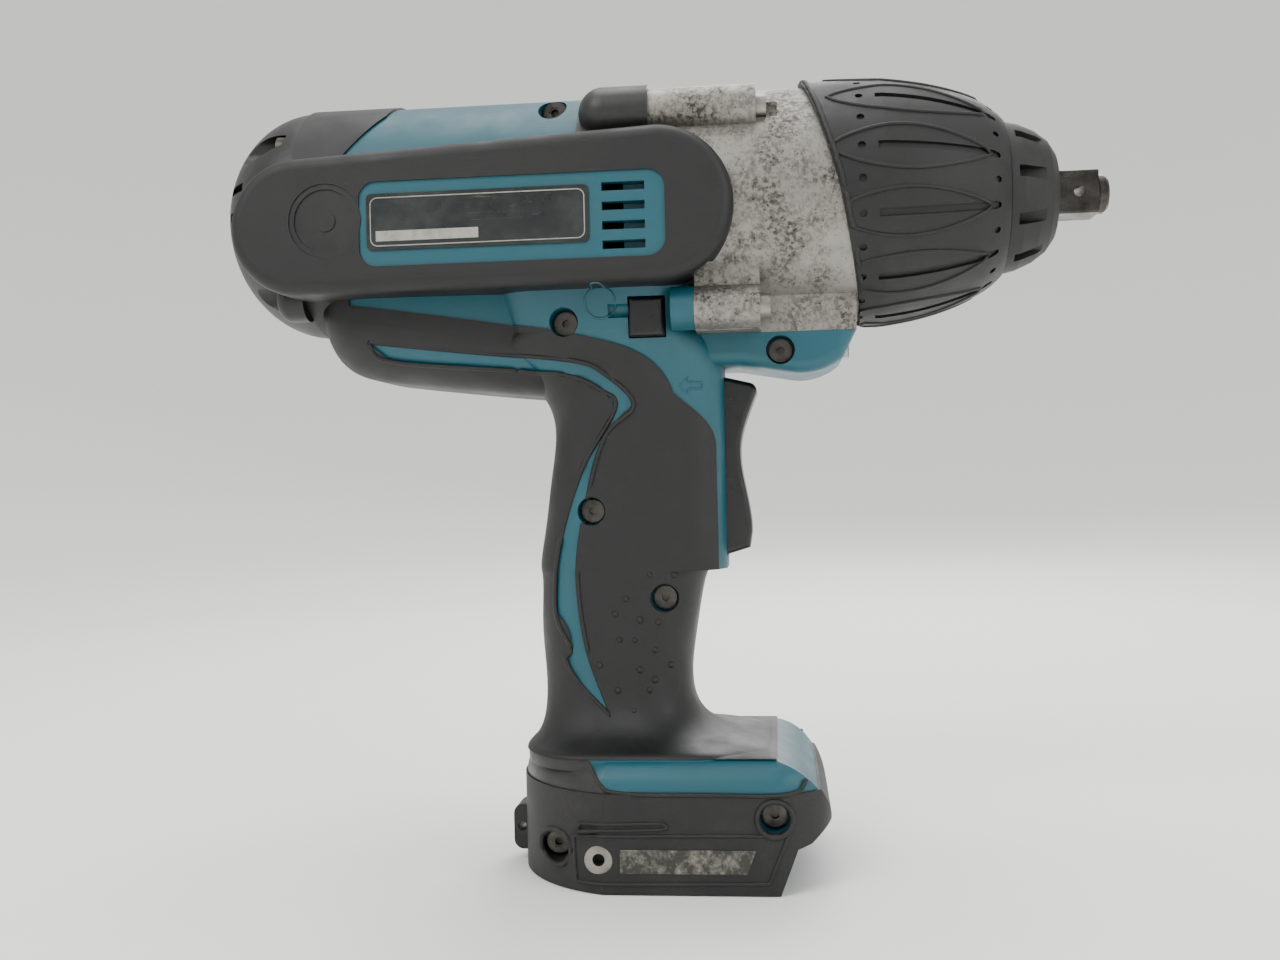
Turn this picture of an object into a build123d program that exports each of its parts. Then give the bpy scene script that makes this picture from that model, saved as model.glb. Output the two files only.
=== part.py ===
from build123d import *
import math
import os

os.makedirs("parts", exist_ok=True)

# Cordless impact wrench.  +X is the nose, +Z is up, Y = 0 is the middle plane that
# the clamshell is split along.  The foot stands on Z = 0.  All sizes are in mm.

# ---------------------------------------------------------------------------
# Driving dimensions
# ---------------------------------------------------------------------------

# Lengths along the spindle axis, from the tail to the nose
rear_cover_depth = 29.0      # domed rear cover
motor_length = 104.0         # housing, from the rear cover's seam to the hammer case
case_length = 115.0          # hammer case, from the housing to its nose
nose_lip = 2.0               # rubber nose ring, in front of the case
drive_length = 12.5          # square drive, in front of the nose ring
drive_tip = 3.5              # round tip that carries the friction ring

# Housing
axis_height = 197.0          # spindle axis above the foot's base
barrel_r = 34.7              # motor barrel and hammer case
wall = 3.0                   # moulded wall
skin_depth = 1.4             # rubber let into the wall
skin_proud = 0.6             # rubber standing proud of the wall
pod_half_width = 39.5        # middle plane to the flat face of a side pod
pod_front_r = 21.3
pod_rear_r = 19.0
pod_edge_r = 3.0
chin_half_width = 19.0
foot_half_width = 38.0
foot_rear_x = -44.0
foot_front_x = 47.0
foot_height = 36.5
skirt_height = 33.0          # lower end of the handle, hidden inside the foot

# Battery bay in the underside of the foot
bay_height = 15.5
bay_half_width = 31.0
bay_rear_x = -24.0
rail_depth = 4.5             # how far a rail stands in from the bay's side
rail_thickness = 3.2
rail_height = 3.5            # underside of the rail above the base

# Motor
yoke_r = 27.5
yoke_wall = 3.0
yoke_length = 48.0
core_r = 20.8
core_length = 32.0
shaft_r = 4.0
commutator_r = 11.0
commutator_length = 14.0
fan_r = 26.0
fan_blades = 9
bearing_r = 11.0
bearing_width = 7.0

# Planetary drive
tooth_module = 1.0
pressure_angle = 25.0
sun_teeth = 9
planet_teeth = 21
ring_teeth = 51
planet_count = 3
gear_width = 7.5
ring_gear_r = 30.0
planet_pin_r = 2.5
spindle_bearing_r = 18.5
spindle_hub_r = 12.5

# Impact mechanism
spindle_r = 8.0
pilot_r = 5.0
flange_r = 26.5
flange_width = 5.0
hammer_r = 28.5
hammer_length = 36.0
hammer_travel = 9.3
spring_r = 19.5
spring_wire_r = 1.75
spring_turns = 4.5
ball_r = 3.5
jaw_r = 24.0
jaw_height = 8.6
jaw_half_angle = 28.0
wing_half_angle = 25.0
journal_r = 10.0
bush_wall = 3.0
bush_length = 20.0
drive_square = 12.7

# Trigger and reversing lever
trigger_travel = 7.5
trigger_half_width = 7.5
lever_half_width = 5.1
lever_travel = 3.5
lever_end = 28.8
lever_knob_inner = 22.6

# Screws
screw_r = 1.5
screw_head_r = 3.4
screw_head = 2.6
screw_boss_r = 4.6
recess_r = 4.2
case_screw_r = 2.0
case_screw_head_r = 3.6
case_boss_r = 6.2

# Clearances
fit_gap = 0.05               # shafts in bores and plates in seats
play = 0.3                   # loose moving pieces

# ---------------------------------------------------------------------------
# Stations along X, worked out so that the overall length is centred on X = 0
# ---------------------------------------------------------------------------
overall_length = (
    rear_cover_depth + motor_length + case_length + nose_lip + drive_length + drive_tip
)
tail_x = -overall_length / 2
seam_x = tail_x + rear_cover_depth
case_x = seam_x + motor_length
nose_x = case_x + case_length
drive_x = nose_x + nose_lip
z0 = axis_height

pod_front_x = case_x + 2.0
pod_rear_x = seam_x + 3.0
pod_front_z = z0 - 4.5
pod_rear_z = z0 - 7.0
ear_y = pod_half_width - 11.5        # inner face of the pods' ears beside the rear cover

# ---------------------------------------------------------------------------
# Building helpers
# ---------------------------------------------------------------------------
spindle_line = Axis((0, 0, z0), (1, 0, 0))
low_centre = (Align.CENTER, Align.CENTER, Align.MIN)


def turned(*points):
    """A solid turned about the spindle axis, from (x, radius) points."""
    outline = Polyline(*[(x, z0 + r) for x, r in points], close=True)
    return revolve(Plane.XZ * make_face(outline), spindle_line, 360)


def rod(x0, x1, r, y=0.0, z=z0):
    """A round bar along X."""
    return Pos(x0, y, z) * Rot(0, 90, 0) * Cylinder(r, x1 - x0, align=low_centre)


def tube(x0, x1, outer_r, inner_r, y=0.0, z=z0):
    """A round tube along X."""
    return rod(x0, x1, outer_r, y, z) - rod(x0 - 1, x1 + 1, inner_r, y, z)


def cross_rod(x, z, r, y0, y1):
    """A round bar along Y."""
    return Pos(x, y0, z) * Rot(-90, 0, 0) * Cylinder(r, y1 - y0, align=low_centre)


def block(x0, x1, y0, y1, low, high):
    """A plain block between two corners."""
    middle = Pos((x0 + x1) / 2, (y0 + y1) / 2, (low + high) / 2)
    return middle * Box(x1 - x0, y1 - y0, high - low)


def plate(face, y0, y1):
    """A side-view face, drawn as (x, z), thickened from y0 to y1."""
    return extrude(Plane.XZ.offset(-y0) * face, y1 - y0, dir=(0, 1, 0))


def disc_part(face, x0, x1):
    """An end-view face, drawn as (y, z - axis height), thickened from x0 to x1."""
    end_plane = Plane(origin=(x0, 0, z0), x_dir=(0, 1, 0), z_dir=(1, 0, 0))
    return extrude(end_plane * face, x1 - x0)


def both_sides(shape):
    """A shape and its mirror image across the middle plane."""
    return shape + mirror(shape, Plane.XZ)


def around(shape, count, start=0.0):
    """Copies of a shape, evenly spaced round the spindle axis."""
    line = Pos(0, 0, z0)
    return [line * Rot(start + i * 360 / count, 0, 0) * line.inverse() * shape for i in range(count)]


def save(name, *shapes):
    """Write one node: a single solid, or a group of separate solids."""
    solids = [solid for shape in shapes for solid in shape.solids()]
    whole = solids[0] if len(solids) == 1 else Compound(solids)
    export_step(whole, f"parts/{name}.step")


# ---------------------------------------------------------------------------
# Outer form of the housing, moved outward (or inward) by "grow"
# ---------------------------------------------------------------------------
def belt(x0, low0, r0, x1, low1, r1):
    """A face: two circles in the side view with straight sides between them."""
    lean = math.atan2(low1 - low0, x1 - x0)
    side = math.acos((r0 - r1) / math.hypot(x1 - x0, low1 - low0))

    def on(x, z, r, angle):
        return (x + r * math.cos(lean + angle), z + r * math.sin(lean + angle))

    rear_top, front_top = on(x0, low0, r0, side), on(x1, low1, r1, side)
    rear_low, front_low = on(x0, low0, r0, -side), on(x1, low1, r1, -side)
    return make_face([
        Line(rear_top, front_top),
        ThreePointArc(front_top, on(x1, low1, r1, 0), front_low),
        Line(front_low, rear_low),
        ThreePointArc(rear_low, on(x0, low0, r0, math.pi), rear_top),
    ])


def pods(grow):
    """The long flat-faced bulges on both sides of the motor, as one block right through."""
    face = belt(
        pod_rear_x, pod_rear_z, pod_rear_r + grow, pod_front_x, pod_front_z, pod_front_r + grow
    )
    half = pod_half_width + grow
    solid = plate(face, -half, half)
    if pod_edge_r + grow > 0.5:
        ends = solid.faces().filter_by(Axis.Y)
        solid = fillet(ends.edges(), pod_edge_r + grow)
    return solid


# Underside of the motor housing: (x, height of the underside, half width, corner radius)
belly_stations = [
    (seam_x + 2.5, z0 - 34.0, 17.0, 12.0),
    (seam_x + 7.0, z0 - 43.5, 22.0, 14.0),
    (seam_x + 13.0, z0 - 47.5, 25.0, 15.0),
    (seam_x + 24.0, z0 - 50.0, 27.0, 16.0),
    (seam_x + 41.0, z0 - 52.2, 26.0, 15.0),
    (seam_x + 58.0, z0 - 54.2, 24.5, 14.0),
    (seam_x + 75.0, z0 - 56.0, 20.5, 12.0),
]
belly_bend = 3                       # station where the round rear end meets the long straight part
belly_top = z0 - 8.0


def belly(grow):
    """The rounded underside that joins the barrel to the handle."""
    sections = []
    for x, low, half, corner in belly_stations:
        height = belly_top - low + grow
        shape = RectangleRounded(2 * (half + grow), height, min(corner, height / 2 - 0.1))
        sections.append(Plane.YZ.offset(x) * Pos(0, belly_top - height / 2) * shape)
    return loft(sections[:belly_bend + 1]) + loft(sections[belly_bend:])


# Upper handle: (z, rear x, front x, half width, corner radius)
neck_stations = [
    (z0 - 38.0, case_x - 45.0, case_x + 12.5, 27.0, 13.0),
    (z0 - 51.0, case_x - 39.5, case_x + 19.0, 21.5, 12.5),
    (z0 - 63.0, case_x - 32.0, case_x + 19.0, 19.0, 12.0),
    (z0 - 74.0, case_x - 32.3, case_x + 19.0, 18.5, 12.0),
    (z0 - 85.0, case_x - 34.0, case_x + 19.0, 18.2, 12.0),
    (z0 - 97.0, case_x - 35.8, case_x + 19.0, 17.8, 12.0),
    (z0 - 108.5, case_x - 37.2, case_x + 18.9, 17.5, 12.0),
]
neck_floor = 2.0                     # ledge left under the trigger
shoulder_stations = [(z0 - 21.0, case_x - 48.0, case_x + 11.6, 30.0, 13.0), neck_stations[0]]

# Grip, from behind the trigger down to the skirt
grip_stations = [
    (z0 - 108.5, case_x - 37.2, case_x + 12.6, 17.5, 12.0),
    (z0 - 120.0, case_x - 37.4, case_x + 9.4, 16.8, 13.0),
    (z0 - 131.0, case_x - 37.4, case_x + 7.6, 16.8, 14.0),
    (foot_height + 15.5, case_x - 36.8, case_x + 6.9, 17.5, 15.0),
    (foot_height + 7.5, case_x - 37.6, case_x + 10.4, 20.5, 17.0),
    (foot_height + 3.0, case_x - 39.4, case_x + 18.5, 26.0, 20.0),
    (foot_height, case_x - 41.5, case_x + 31.0, 33.0, 22.0),
    (skirt_height, case_x - 41.5, case_x + 31.0, 33.0, 22.0),
]


def handle(stations, grow):
    """A handle length lofted through rounded sections."""
    sections = []
    for z, rear, front, half, corner in stations:
        length, width = front - rear + 2 * grow, 2 * (half + grow)
        round_r = min(corner + grow, width / 2 - 0.1, length / 2 - 0.1)
        shape = RectangleRounded(length, width, round_r)
        sections.append(Plane.XY.offset(z) * Pos((front + rear) / 2, 0) * shape)
    return loft(sections)


chin_top = z0 - 39.5
chin_front_x = case_x + 58.0


def chin(grow):
    """The lower front of the housing, under the hammer case."""
    face = make_face([
        Line((case_x, chin_top), (chin_front_x, chin_top)),
        Line((chin_front_x, chin_top), (case_x + 54.0, z0 - 47.3)),
        ThreePointArc((case_x + 54.0, z0 - 47.3), (case_x + 48.0, z0 - 50.6), (case_x + 40.0, z0 - 51.3)),
        Line((case_x + 40.0, z0 - 51.3), (case_x + 24.0, z0 - 48.4)),
        Line((case_x + 24.0, z0 - 48.4), (case_x, z0 - 48.4)),
        Line((case_x, z0 - 48.4), (case_x, chin_top)),
    ])
    half = chin_half_width + grow
    solid = plate(offset(face, grow, kind=Kind.INTERSECTION) if grow else face, -half, half)
    sides = solid.faces().filter_by(Axis.Y).edges()
    low = [e for e in sides if e.center().Z < chin_top - 1.0 and e.center().X > case_x + 5.0]
    return fillet(low, 3.6 + grow) if grow > -wall else solid


foot_side_x = case_x - 16.5          # where the foot's straight side meets its round rear
foot_round_r = 8.0                   # rounding of the foot's top edge


def foot(grow):
    """The foot, round at the rear, with its side walls cut back at the front."""
    rear, front = foot_rear_x - grow, foot_front_x + grow
    half = foot_half_width + grow
    plan = make_face([
        ThreePointArc((foot_side_x, half), (rear, 0), (foot_side_x, -half)),
        Line((foot_side_x, -half), (front, -half)),
        Line((front, -half), (front, half)),
        Line((front, half), (foot_side_x, half)),
    ])
    plan = fillet(plan.vertices().sort_by(Axis.X)[-2:], 16.0 + grow)
    solid = extrude(plan, foot_height + grow)
    solid = fillet(solid.faces().sort_by(Axis.Z)[-1].edges(), foot_round_r + grow)
    under = make_face(Polyline(
        (front + 9, -1), (foot_front_x - 15.3, -1), (foot_front_x - 9.7, bay_height - 2.5),
        (foot_front_x - 5.6, bay_height - 1.3), (foot_front_x, bay_height + 3),
        (front + 9, bay_height + 3), close=True,
    ))
    shoulder = make_face([
        ThreePointArc(
            (foot_front_x - 17, foot_height), (foot_front_x - 5.6, foot_height - 5.7),
            (foot_front_x, bay_height + 3),
        ),
        Line((foot_front_x, bay_height + 3), (front + 9, bay_height + 3)),
        Line((front + 9, bay_height + 3), (front + 9, foot_height + 9)),
        Line((front + 9, foot_height + 9), (foot_front_x - 17, foot_height + 9)),
        Line((foot_front_x - 17, foot_height + 9), (foot_front_x - 17, foot_height)),
    ])
    for cut in (under, shoulder):
        room = offset(cut, -grow, kind=Kind.INTERSECTION) if grow else cut
        solid -= plate(room, -half - 1, half + 1)
    return solid


# Screw centres of the hammer case, on the +Y side: (y, z)
case_screw_spots = [(26.5, z0 + 24.0), (28.0, z0 - 33.0)]


def case_bosses(grow):
    """The housing's lugs behind the hammer case's screws."""
    (upper_y, upper_z), (lower_y, lower_z) = case_screw_spots
    bump_r = case_boss_r + 1.2 + grow
    upper = rod(case_x - 13, case_x, bump_r, upper_y, upper_z)
    upper += Pos(case_x - 13, upper_y, upper_z) * Sphere(bump_r)
    lower = rod(case_x + 5.4, case_x + 11.9, case_boss_r + grow, lower_y, lower_z)
    return both_sides(upper + lower)


def body_form(grow):
    """Everything but the side pods."""
    form = rod(seam_x, case_x, barrel_r + grow) + belly(grow)
    for stations in (shoulder_stations, neck_stations, grip_stations):
        form += handle(stations, grow)
    form += chin(grow) + foot(grow) + case_bosses(grow)
    return form


case_room = rod(case_x, nose_x, barrel_r + fit_gap)
saddle_x = case_x + 12.0
saddle_room = block(saddle_x, nose_x, -34.5, 34.5, chin_top, z0 - 20.0)
front_room = case_room + saddle_room
cover_room = block(tail_x - 5, seam_x, -ear_y, ear_y, 0, z0 + 60)

outer_body = body_form(0.0)
outer = outer_body + pods(0.0) - front_room - cover_room

# ---------------------------------------------------------------------------
# Hollow inside the housing
# ---------------------------------------------------------------------------
hollow = rod(seam_x - 1, case_x + 1, barrel_r - wall) + belly(-wall)
neck_end = (neck_stations[-1][0] + neck_floor, *neck_stations[-1][1:])
for stations in (shoulder_stations, neck_stations[:-1] + [neck_end], grip_stations):
    hollow += handle(stations, -wall)
hollow += chin(-wall)
hollow += foot(-wall) & block(-99, 99, -99, 99, bay_height + wall, foot_height)
pod_hollow = pods(-wall) - block(case_x - 7, nose_x, -60, 60, 0, z0 + 60)
pod_hollow -= block(tail_x - 5, seam_x + wall, -ear_y - wall, ear_y + wall, 0, z0 + 60)
hollow += pod_hollow

shell = outer - hollow

# Ring ribs that hold the motor and the gear case
rib_x = [seam_x + 25.0, seam_x + 63.0]
for x in rib_x:
    shell += tube(x, x + 3.0, barrel_r - wall + 0.5, yoke_r + fit_gap)
shell += tube(case_x - 6.0, case_x, barrel_r - wall + 0.5, ring_gear_r + fit_gap)

# Housing screws: (x, z, depth of the head's seat from the middle plane)
housing_screw_spots = [
    (case_x - 29.0, z0 + 28.0, 13.0),
    (case_x - 26.0, z0 - 35.6, 20.0),
    (case_x - 20.5, z0 - 90.5, 11.0),
    (case_x + 36.0, z0 - 44.7, 12.0),
    (case_x + 0.5, z0 - 116.5, 10.0),
    (foot_front_x - 15.5, bay_height + 5.6, 30.5),
    (foot_rear_x + 12.8, 11.0, 22.0),
]
screw_reach = 11.0                   # how far a screw goes into the left half
recesses = []
for x, z, seat in housing_screw_spots:
    shell += cross_rod(x, z, screw_boss_r, -60, 60) & outer
    recesses.append(cross_rod(x, z, recess_r, -60, -seat))

# Rear cover screws, on the +Y side: (y, z)
cover_screw_spots = [(24.0, z0 + 19.0), (20.0, z0 - 25.5)]
cover_seat_x = seam_x - 4.0
cover_boss_r = 5.0
for y, z in cover_screw_spots:
    shell += both_sides(rod(seam_x, seam_x + 13, cover_boss_r, y, z)) & outer

# Shelves over and under the switch
switch_rear_x, switch_front_x = case_x - 15.0, case_x + 1.5
switch_low, switch_high = z0 - 101.0, z0 - 55.0
switch_half_width = 11.0
shelf = block(switch_rear_x, switch_front_x, -30, 30, switch_low - 3, switch_low - fit_gap)
shelf += block(switch_rear_x, switch_front_x, -30, 30, switch_high + fit_gap, switch_high + 3)
shell += shelf & outer

# Battery bay with its rails, open underneath and at the front
bay = block(bay_rear_x, foot_front_x + 9, -bay_half_width, bay_half_width, -1, bay_height)
rails = both_sides(block(
    bay_rear_x, foot_front_x - 12, bay_half_width - rail_depth, bay_half_width + 1,
    rail_height, rail_height + rail_thickness,
))
shell = shell - bay + (rails & outer)

# Openings: trigger slot, lever windows, side vents, work light window
trigger_low, trigger_high = z0 - 104.5, z0 - 51.4
trigger_slot = block(
    case_x + 10, case_x + 25, -trigger_half_width - play, trigger_half_width + play,
    trigger_low - play, trigger_high + play,
)
lever_x = case_x - 1.9
lever_low, lever_high = z0 - 40.5, z0 - 29.3
lever_window = block(
    lever_x - lever_half_width - play, lever_x + lever_half_width + play, -60, 60,
    lever_low - play, lever_high + play,
)
lever_window -= block(case_x - 60, case_x + 60, -15, 15, 0, z0)
vent_count, vent_pitch = 4, 5.4
vents = []
for i in range(vent_count):
    z = z0 - 17.2 + i * vent_pitch
    vents.append(both_sides(block(case_x - 12.6, case_x - 0.6, pod_half_width - 4.5, 60, z, z + 2.4)))
light_z = z0 - 44.3
light_window = block(case_x + 50, case_x + 60, -5.2, 5.2, light_z - 2.2, light_z + 2.2)
badge_x, badge_z, badge_r = seam_x + 12.0, z0 - 6.0, 10.5
badge_pocket = both_sides(cross_rod(badge_x, badge_z, badge_r + fit_gap, pod_half_width - 1.0, 60))
screw_holes = []
for x, z, seat in housing_screw_spots:
    screw_holes.append(cross_rod(x, z, screw_r + 0.2, -60, 0))
    screw_holes.append(cross_rod(x, z, screw_r, -1, screw_reach))
case_screw_reach = 13.0
for y, z in case_screw_spots:
    screw_holes.append(both_sides(rod(case_x - case_screw_reach, case_x + 1, case_screw_r, y, z)))
lower_y, lower_z = case_screw_spots[1]
screw_holes.append(both_sides(rod(case_x + 5.4, saddle_x, case_screw_r, lower_y, lower_z)))
for y, z in cover_screw_spots:
    screw_holes.append(both_sides(rod(seam_x - 1, seam_x + 11, case_screw_r, y, z)))

# Hook screw inserts in the foot's sides
insert_x, insert_z, insert_r = foot_side_x - 1.4, 9.4, 4.0
insert_thread_r = 1.75
insert_hole = both_sides(cross_rod(insert_x, insert_z, insert_r, bay_half_width + 1, 60))
lug_slot = block(foot_rear_x - 1, foot_rear_x + 3, -5, 5, 3, 17)

lead_r = 1.5
lead_x, lead_y = case_x - 8.0, 6.0
lead_holes = [
    Pos(lead_x, side * lead_y, z) * Cylinder(lead_r + 0.3, 12)
    for side in (-1, 1) for z in (switch_low - 2, switch_high + 2, bay_height + 2)
]

openings = recesses + screw_holes + vents + lead_holes
openings += [trigger_slot, lever_window, light_window, badge_pocket, insert_hole, lug_slot]
openings.append(block(
    case_x + 49.0 - fit_gap, case_x + 51.0 + fit_gap, -6.5 - fit_gap, 6.5 + fit_gap,
    light_z - 4.0 - fit_gap, light_z + 3.8 + fit_gap,
))

# ---------------------------------------------------------------------------
# Rubber moulded on to the housing
# ---------------------------------------------------------------------------
def at(x, drop):
    """A side-view point, from the hammer case joint and the spindle axis."""
    return (case_x + x, z0 - drop)


# Ring round the edge of each side pod, with a long window for the nameplate and vents
window_x0, window_x1 = case_x - 82.0, case_x + 5.0
window_z0, window_z1 = z0 - 19.5, z0 + 4.5
window = Pos((window_x0 + window_x1) / 2, (window_z0 + window_z1) / 2) * RectangleRounded(
    window_x1 - window_x0, window_z1 - window_z0, 5.0
)
ring_form = pods(skin_proud) - pods(-skin_depth) - outer_body - front_room
ring_form -= plate(window, -60, 60)
ring_form -= block(tail_x - 5, seam_x, -ear_y, ear_y, 0, z0 + 60)
ring_form -= badge_pocket

# Rubber field of the lower band, the grip and the skirt
field = make_face([
    Polyline(
        at(-114, -45), at(-76, -45), at(-79, -28.4), at(-90, -13), at(-90, 28.4),
        at(-67.8, 31.6), at(-26.8, 38.0),
    ),
    Spline(at(-26.8, 38.0), at(-9.8, 42.6), at(-1.5, 47.0), at(4.6, 56.4)),
    Spline(at(4.6, 56.4), at(9.0, 60.0), at(14.2, 65.0), at(16.6, 72.0)),
    Polyline(
        at(16.6, 72.0), at(16.6, 109.0), at(60, 109.0), (case_x + 60, foot_height + 0.1),
        (case_x - 60, foot_height + 0.1), at(-60, 75), at(-114, 75), at(-114, -45),
    ),
])

# The hard stripe that runs along the underside and down the handle
stripe = make_face([
    Line(at(-84.5, 39.3), at(-54.2, 43.0)),
    Spline(at(-54.2, 43.0), at(-24.7, 46.3), at(-14.8, 50.6), at(-7.0, 59.6)),
    Spline(at(-7.0, 59.6), at(-15.5, 68.1), at(-20.9, 84.2), at(-25.0, 107.8), at(-22.6, 131.5)),
    Line(at(-22.6, 131.5), at(-15.4, 151.5)),
    Spline(at(-15.4, 151.5), at(-25.3, 141.4), at(-29.4, 134.5)),
    Spline(at(-29.4, 134.5), at(-27.8, 131.0), at(-32.4, 120.2)),
    Spline(at(-32.4, 120.2), at(-30.4, 100.3), at(-23.0, 78.2), at(-12.6, 60.3)),
    Spline(at(-12.6, 60.3), at(-16.4, 55.1), at(-25.2, 50.8), at(-39.9, 48.9)),
    Line(at(-39.9, 48.9), at(-78.3, 45.0)),
    Line(at(-78.3, 45.0), at(-84.5, 39.3)),
])
foot_guard_top = foot_height - 8.5

skin = body_form(skin_proud) - body_form(-skin_depth)
skin -= pods(skin_proud) + front_room
skin -= block(tail_x - 5, seam_x, -60, 60, 0, z0 + 60)
grip_form = (skin & plate(field, -60, 60)) - plate(stripe, -60, 60)
guard_form = skin & block(-99, 99, -99, 99, 0, foot_guard_top)
guard_form -= bay + block(-99, 99, -99, 99, -9, 0)

right_side = block(-200, 200, -99, 0, -9, 400)
left_side = block(-200, 200, 0, 99, -9, 400)


ring_form -= vents
grip_form -= recesses + [trigger_slot, lever_window]
for y, z in cover_screw_spots:
    grip_form -= both_sides(rod(seam_x - 1, seam_x + 13, case_screw_r + fit_gap, y, z))
guard_form -= recesses + [insert_hole, lug_slot]
shell -= openings + [ring_form, grip_form, guard_form]

for side, half in (("right", right_side), ("left", left_side)):
    save(f"housing_{side}", shell & half)
    save(f"motor_ring_{side}", ring_form & half)
    save(f"grip_rubber_{side}", grip_form & half)
    save(f"foot_guard_{side}", guard_form & half)

# ---------------------------------------------------------------------------
# Rear cover and its screws
# ---------------------------------------------------------------------------
tail_flat = 0.4                      # how much of the dome's tip is cut off flat


def dome(grow):
    """The rounded rear end of the barrel."""
    depth = rear_cover_depth + grow
    oval = Pos(seam_x, z0) * Ellipse(depth + tail_flat, barrel_r + grow)
    quarter = oval & Pos(seam_x - depth / 2, z0 + 50) * Rectangle(depth, 100)
    return revolve(Plane.XZ * quarter, spindle_line, 360)


rear_bearing_x = seam_x - 16.0
cover = dome(0.0) - dome(-wall)
cover += tube(seam_x - 1, seam_x + wall, barrel_r - wall - fit_gap, barrel_r - 2 * wall)
cover += rod(tail_x + 1, rear_bearing_x + bearing_width + 1, bearing_r + wall) & dome(-1.0)
for y, z in cover_screw_spots:
    cover += both_sides(rod(tail_x, seam_x, 6.2, y, z) & dome(0.0))
lobe_y, lobe_z = cover_screw_spots[1]
lobe = rod(seam_x - 9, seam_x, 6.4, lobe_y, lobe_z)
cover += both_sides(fillet(lobe.edges().sort_by(Axis.X)[0], 4.0) - dome(-wall / 2))
cover_cuts = [rod(rear_bearing_x - 0.5, seam_x, bearing_r, 0, z0), both_sides(
    pods(skin_proud + fit_gap) & block(tail_x - 5, seam_x, ear_y - fit_gap, 60, 0, z0 + 60)
)]
for y, z in cover_screw_spots:
    cover_cuts.append(both_sides(rod(tail_x - 1, cover_seat_x, recess_r, y, z)))
    cover_cuts.append(both_sides(rod(tail_x, seam_x + 1, case_screw_r + 0.2, y, z)))
    cover_cuts.append(both_sides(rod(seam_x, seam_x + 9, cover_boss_r + fit_gap, y, z)))
cover_vents = 3
for i in range(cover_vents):
    z = z0 - 9.3 + i * 8.0
    cover_cuts.append(both_sides(block(seam_x - 24.0, seam_x - 17.5, 16, 40, z, z + 2.6)))
save("rear_cover", cover - cover_cuts)

cover_screw_length = 14.0
cover_screws = []
for y, z in cover_screw_spots:
    screw = rod(cover_seat_x - screw_head, cover_seat_x, case_screw_head_r, y, z)
    screw += rod(cover_seat_x - 1, cover_seat_x + cover_screw_length, case_screw_r, y, z)
    screw -= rod(cover_seat_x - screw_head - 1, cover_seat_x - 1, 1.4, y, z)
    cover_screws += [screw, mirror(screw, Plane.XZ)]
save("cover_screws", *cover_screws)

# Screws that hold the two housing halves, all put in from the right side
housing_screws = []
for x, z, seat in housing_screw_spots:
    screw = cross_rod(x, z, screw_head_r, -seat - screw_head, -seat)
    screw += cross_rod(x, z, screw_r, -seat - 1, screw_reach - 1)
    screw -= cross_rod(x, z, 1.2, -seat - screw_head - 1, -seat - 1)
    housing_screws.append(screw)
save("housing_screws", *housing_screws)

# Name plates and the round badges that close the brush openings
plate_x, plate_z = case_x - 48.0, z0 - 7.0
plate_face = Pos(plate_x, plate_z) * RectangleRounded(63.5, 16.0, 1.5)
name_plate = plate(plate_face, pod_half_width, pod_half_width + skin_proud - 0.1)
save("name_plates", name_plate, mirror(name_plate, Plane.XZ))
badge = cross_rod(badge_x, badge_z, badge_r, pod_half_width - 1.0, pod_half_width + 0.3)
badge -= cross_rod(badge_x, badge_z, badge_r - 1.5, pod_half_width - 0.1, 60)
badge += cross_rod(badge_x, badge_z, 3.0, pod_half_width - 0.5, pod_half_width + 0.2)
save("brush_caps", badge, mirror(badge, Plane.XZ))

# ---------------------------------------------------------------------------
# Hammer case, bumper and nose ring
# ---------------------------------------------------------------------------
# Outside of the case, under the rubber: (distance from the case joint, radius)
case_outline = [(62.0, barrel_r), (72.0, 33.4), (78.0, 31.6), (88.0, 28.9), (97.0, 25.0), (101.4, 21.0)]
nose_boss_x, nose_boss_r = 101.8, 16.0
gear_room_length = 22.2
hammer_room_r = hammer_r + 1.0
jaw_room_x = case_x + 74.5
shoulder_x = case_x + 86.0
bush_x = nose_x - bush_length
bush_r = journal_r + fit_gap + bush_wall

case = turned(
    (case_x, 0), (case_x, barrel_r), *[(case_x + x, r) for x, r in case_outline],
    (case_x + nose_boss_x, nose_boss_r), (nose_x - 2, nose_boss_r), (nose_x, nose_boss_r - 2), (nose_x, 0),
)
saddle = block(saddle_x, chin_front_x, -chin_half_width, chin_half_width, chin_top + fit_gap, z0 - 20)
saddle += block(saddle_x, case_x + 30.5, -lower_y, lower_y, chin_top + fit_gap, z0 - 20)
case += saddle
for y, z in case_screw_spots:
    start = case_x if z > z0 else saddle_x
    case += both_sides(rod(start, case_x + 30.5, case_boss_r, y, z))
case_rooms = [
    turned(
        (case_x - 1, 0), (case_x - 1, ring_gear_r + fit_gap),
        (case_x + gear_room_length, ring_gear_r + fit_gap),
        (case_x + gear_room_length, hammer_room_r), (jaw_room_x, hammer_room_r), (shoulder_x, jaw_r + 2),
        (shoulder_x, journal_r + 0.8), (bush_x, journal_r + 0.8), (bush_x, bush_r), (nose_x + 1, bush_r),
        (nose_x + 1, 0),
    ),
]
for y, z in case_screw_spots:
    case_rooms.append(both_sides(rod(case_x - 1, case_x + 32, case_screw_r + 0.2, y, z)))
    case_rooms.append(both_sides(rod(case_x + 30.5, case_x + 36.5, case_screw_head_r + 0.3, y, z)))
save("hammer_case", case - case_rooms)

case_screws = []
for y, z in case_screw_spots:
    tip = case_x - case_screw_reach + 1 if z > z0 else case_x + 6
    screw = rod(case_x + 30.5, case_x + 33.2, case_screw_head_r, y, z)
    screw += rod(tip, case_x + 31, case_screw_r, y, z)
    screw -= rod(case_x + 32, case_x + 34, 1.6, y, z)
    case_screws += [screw, mirror(screw, Plane.XZ)]
save("case_screws", *case_screws)

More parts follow.
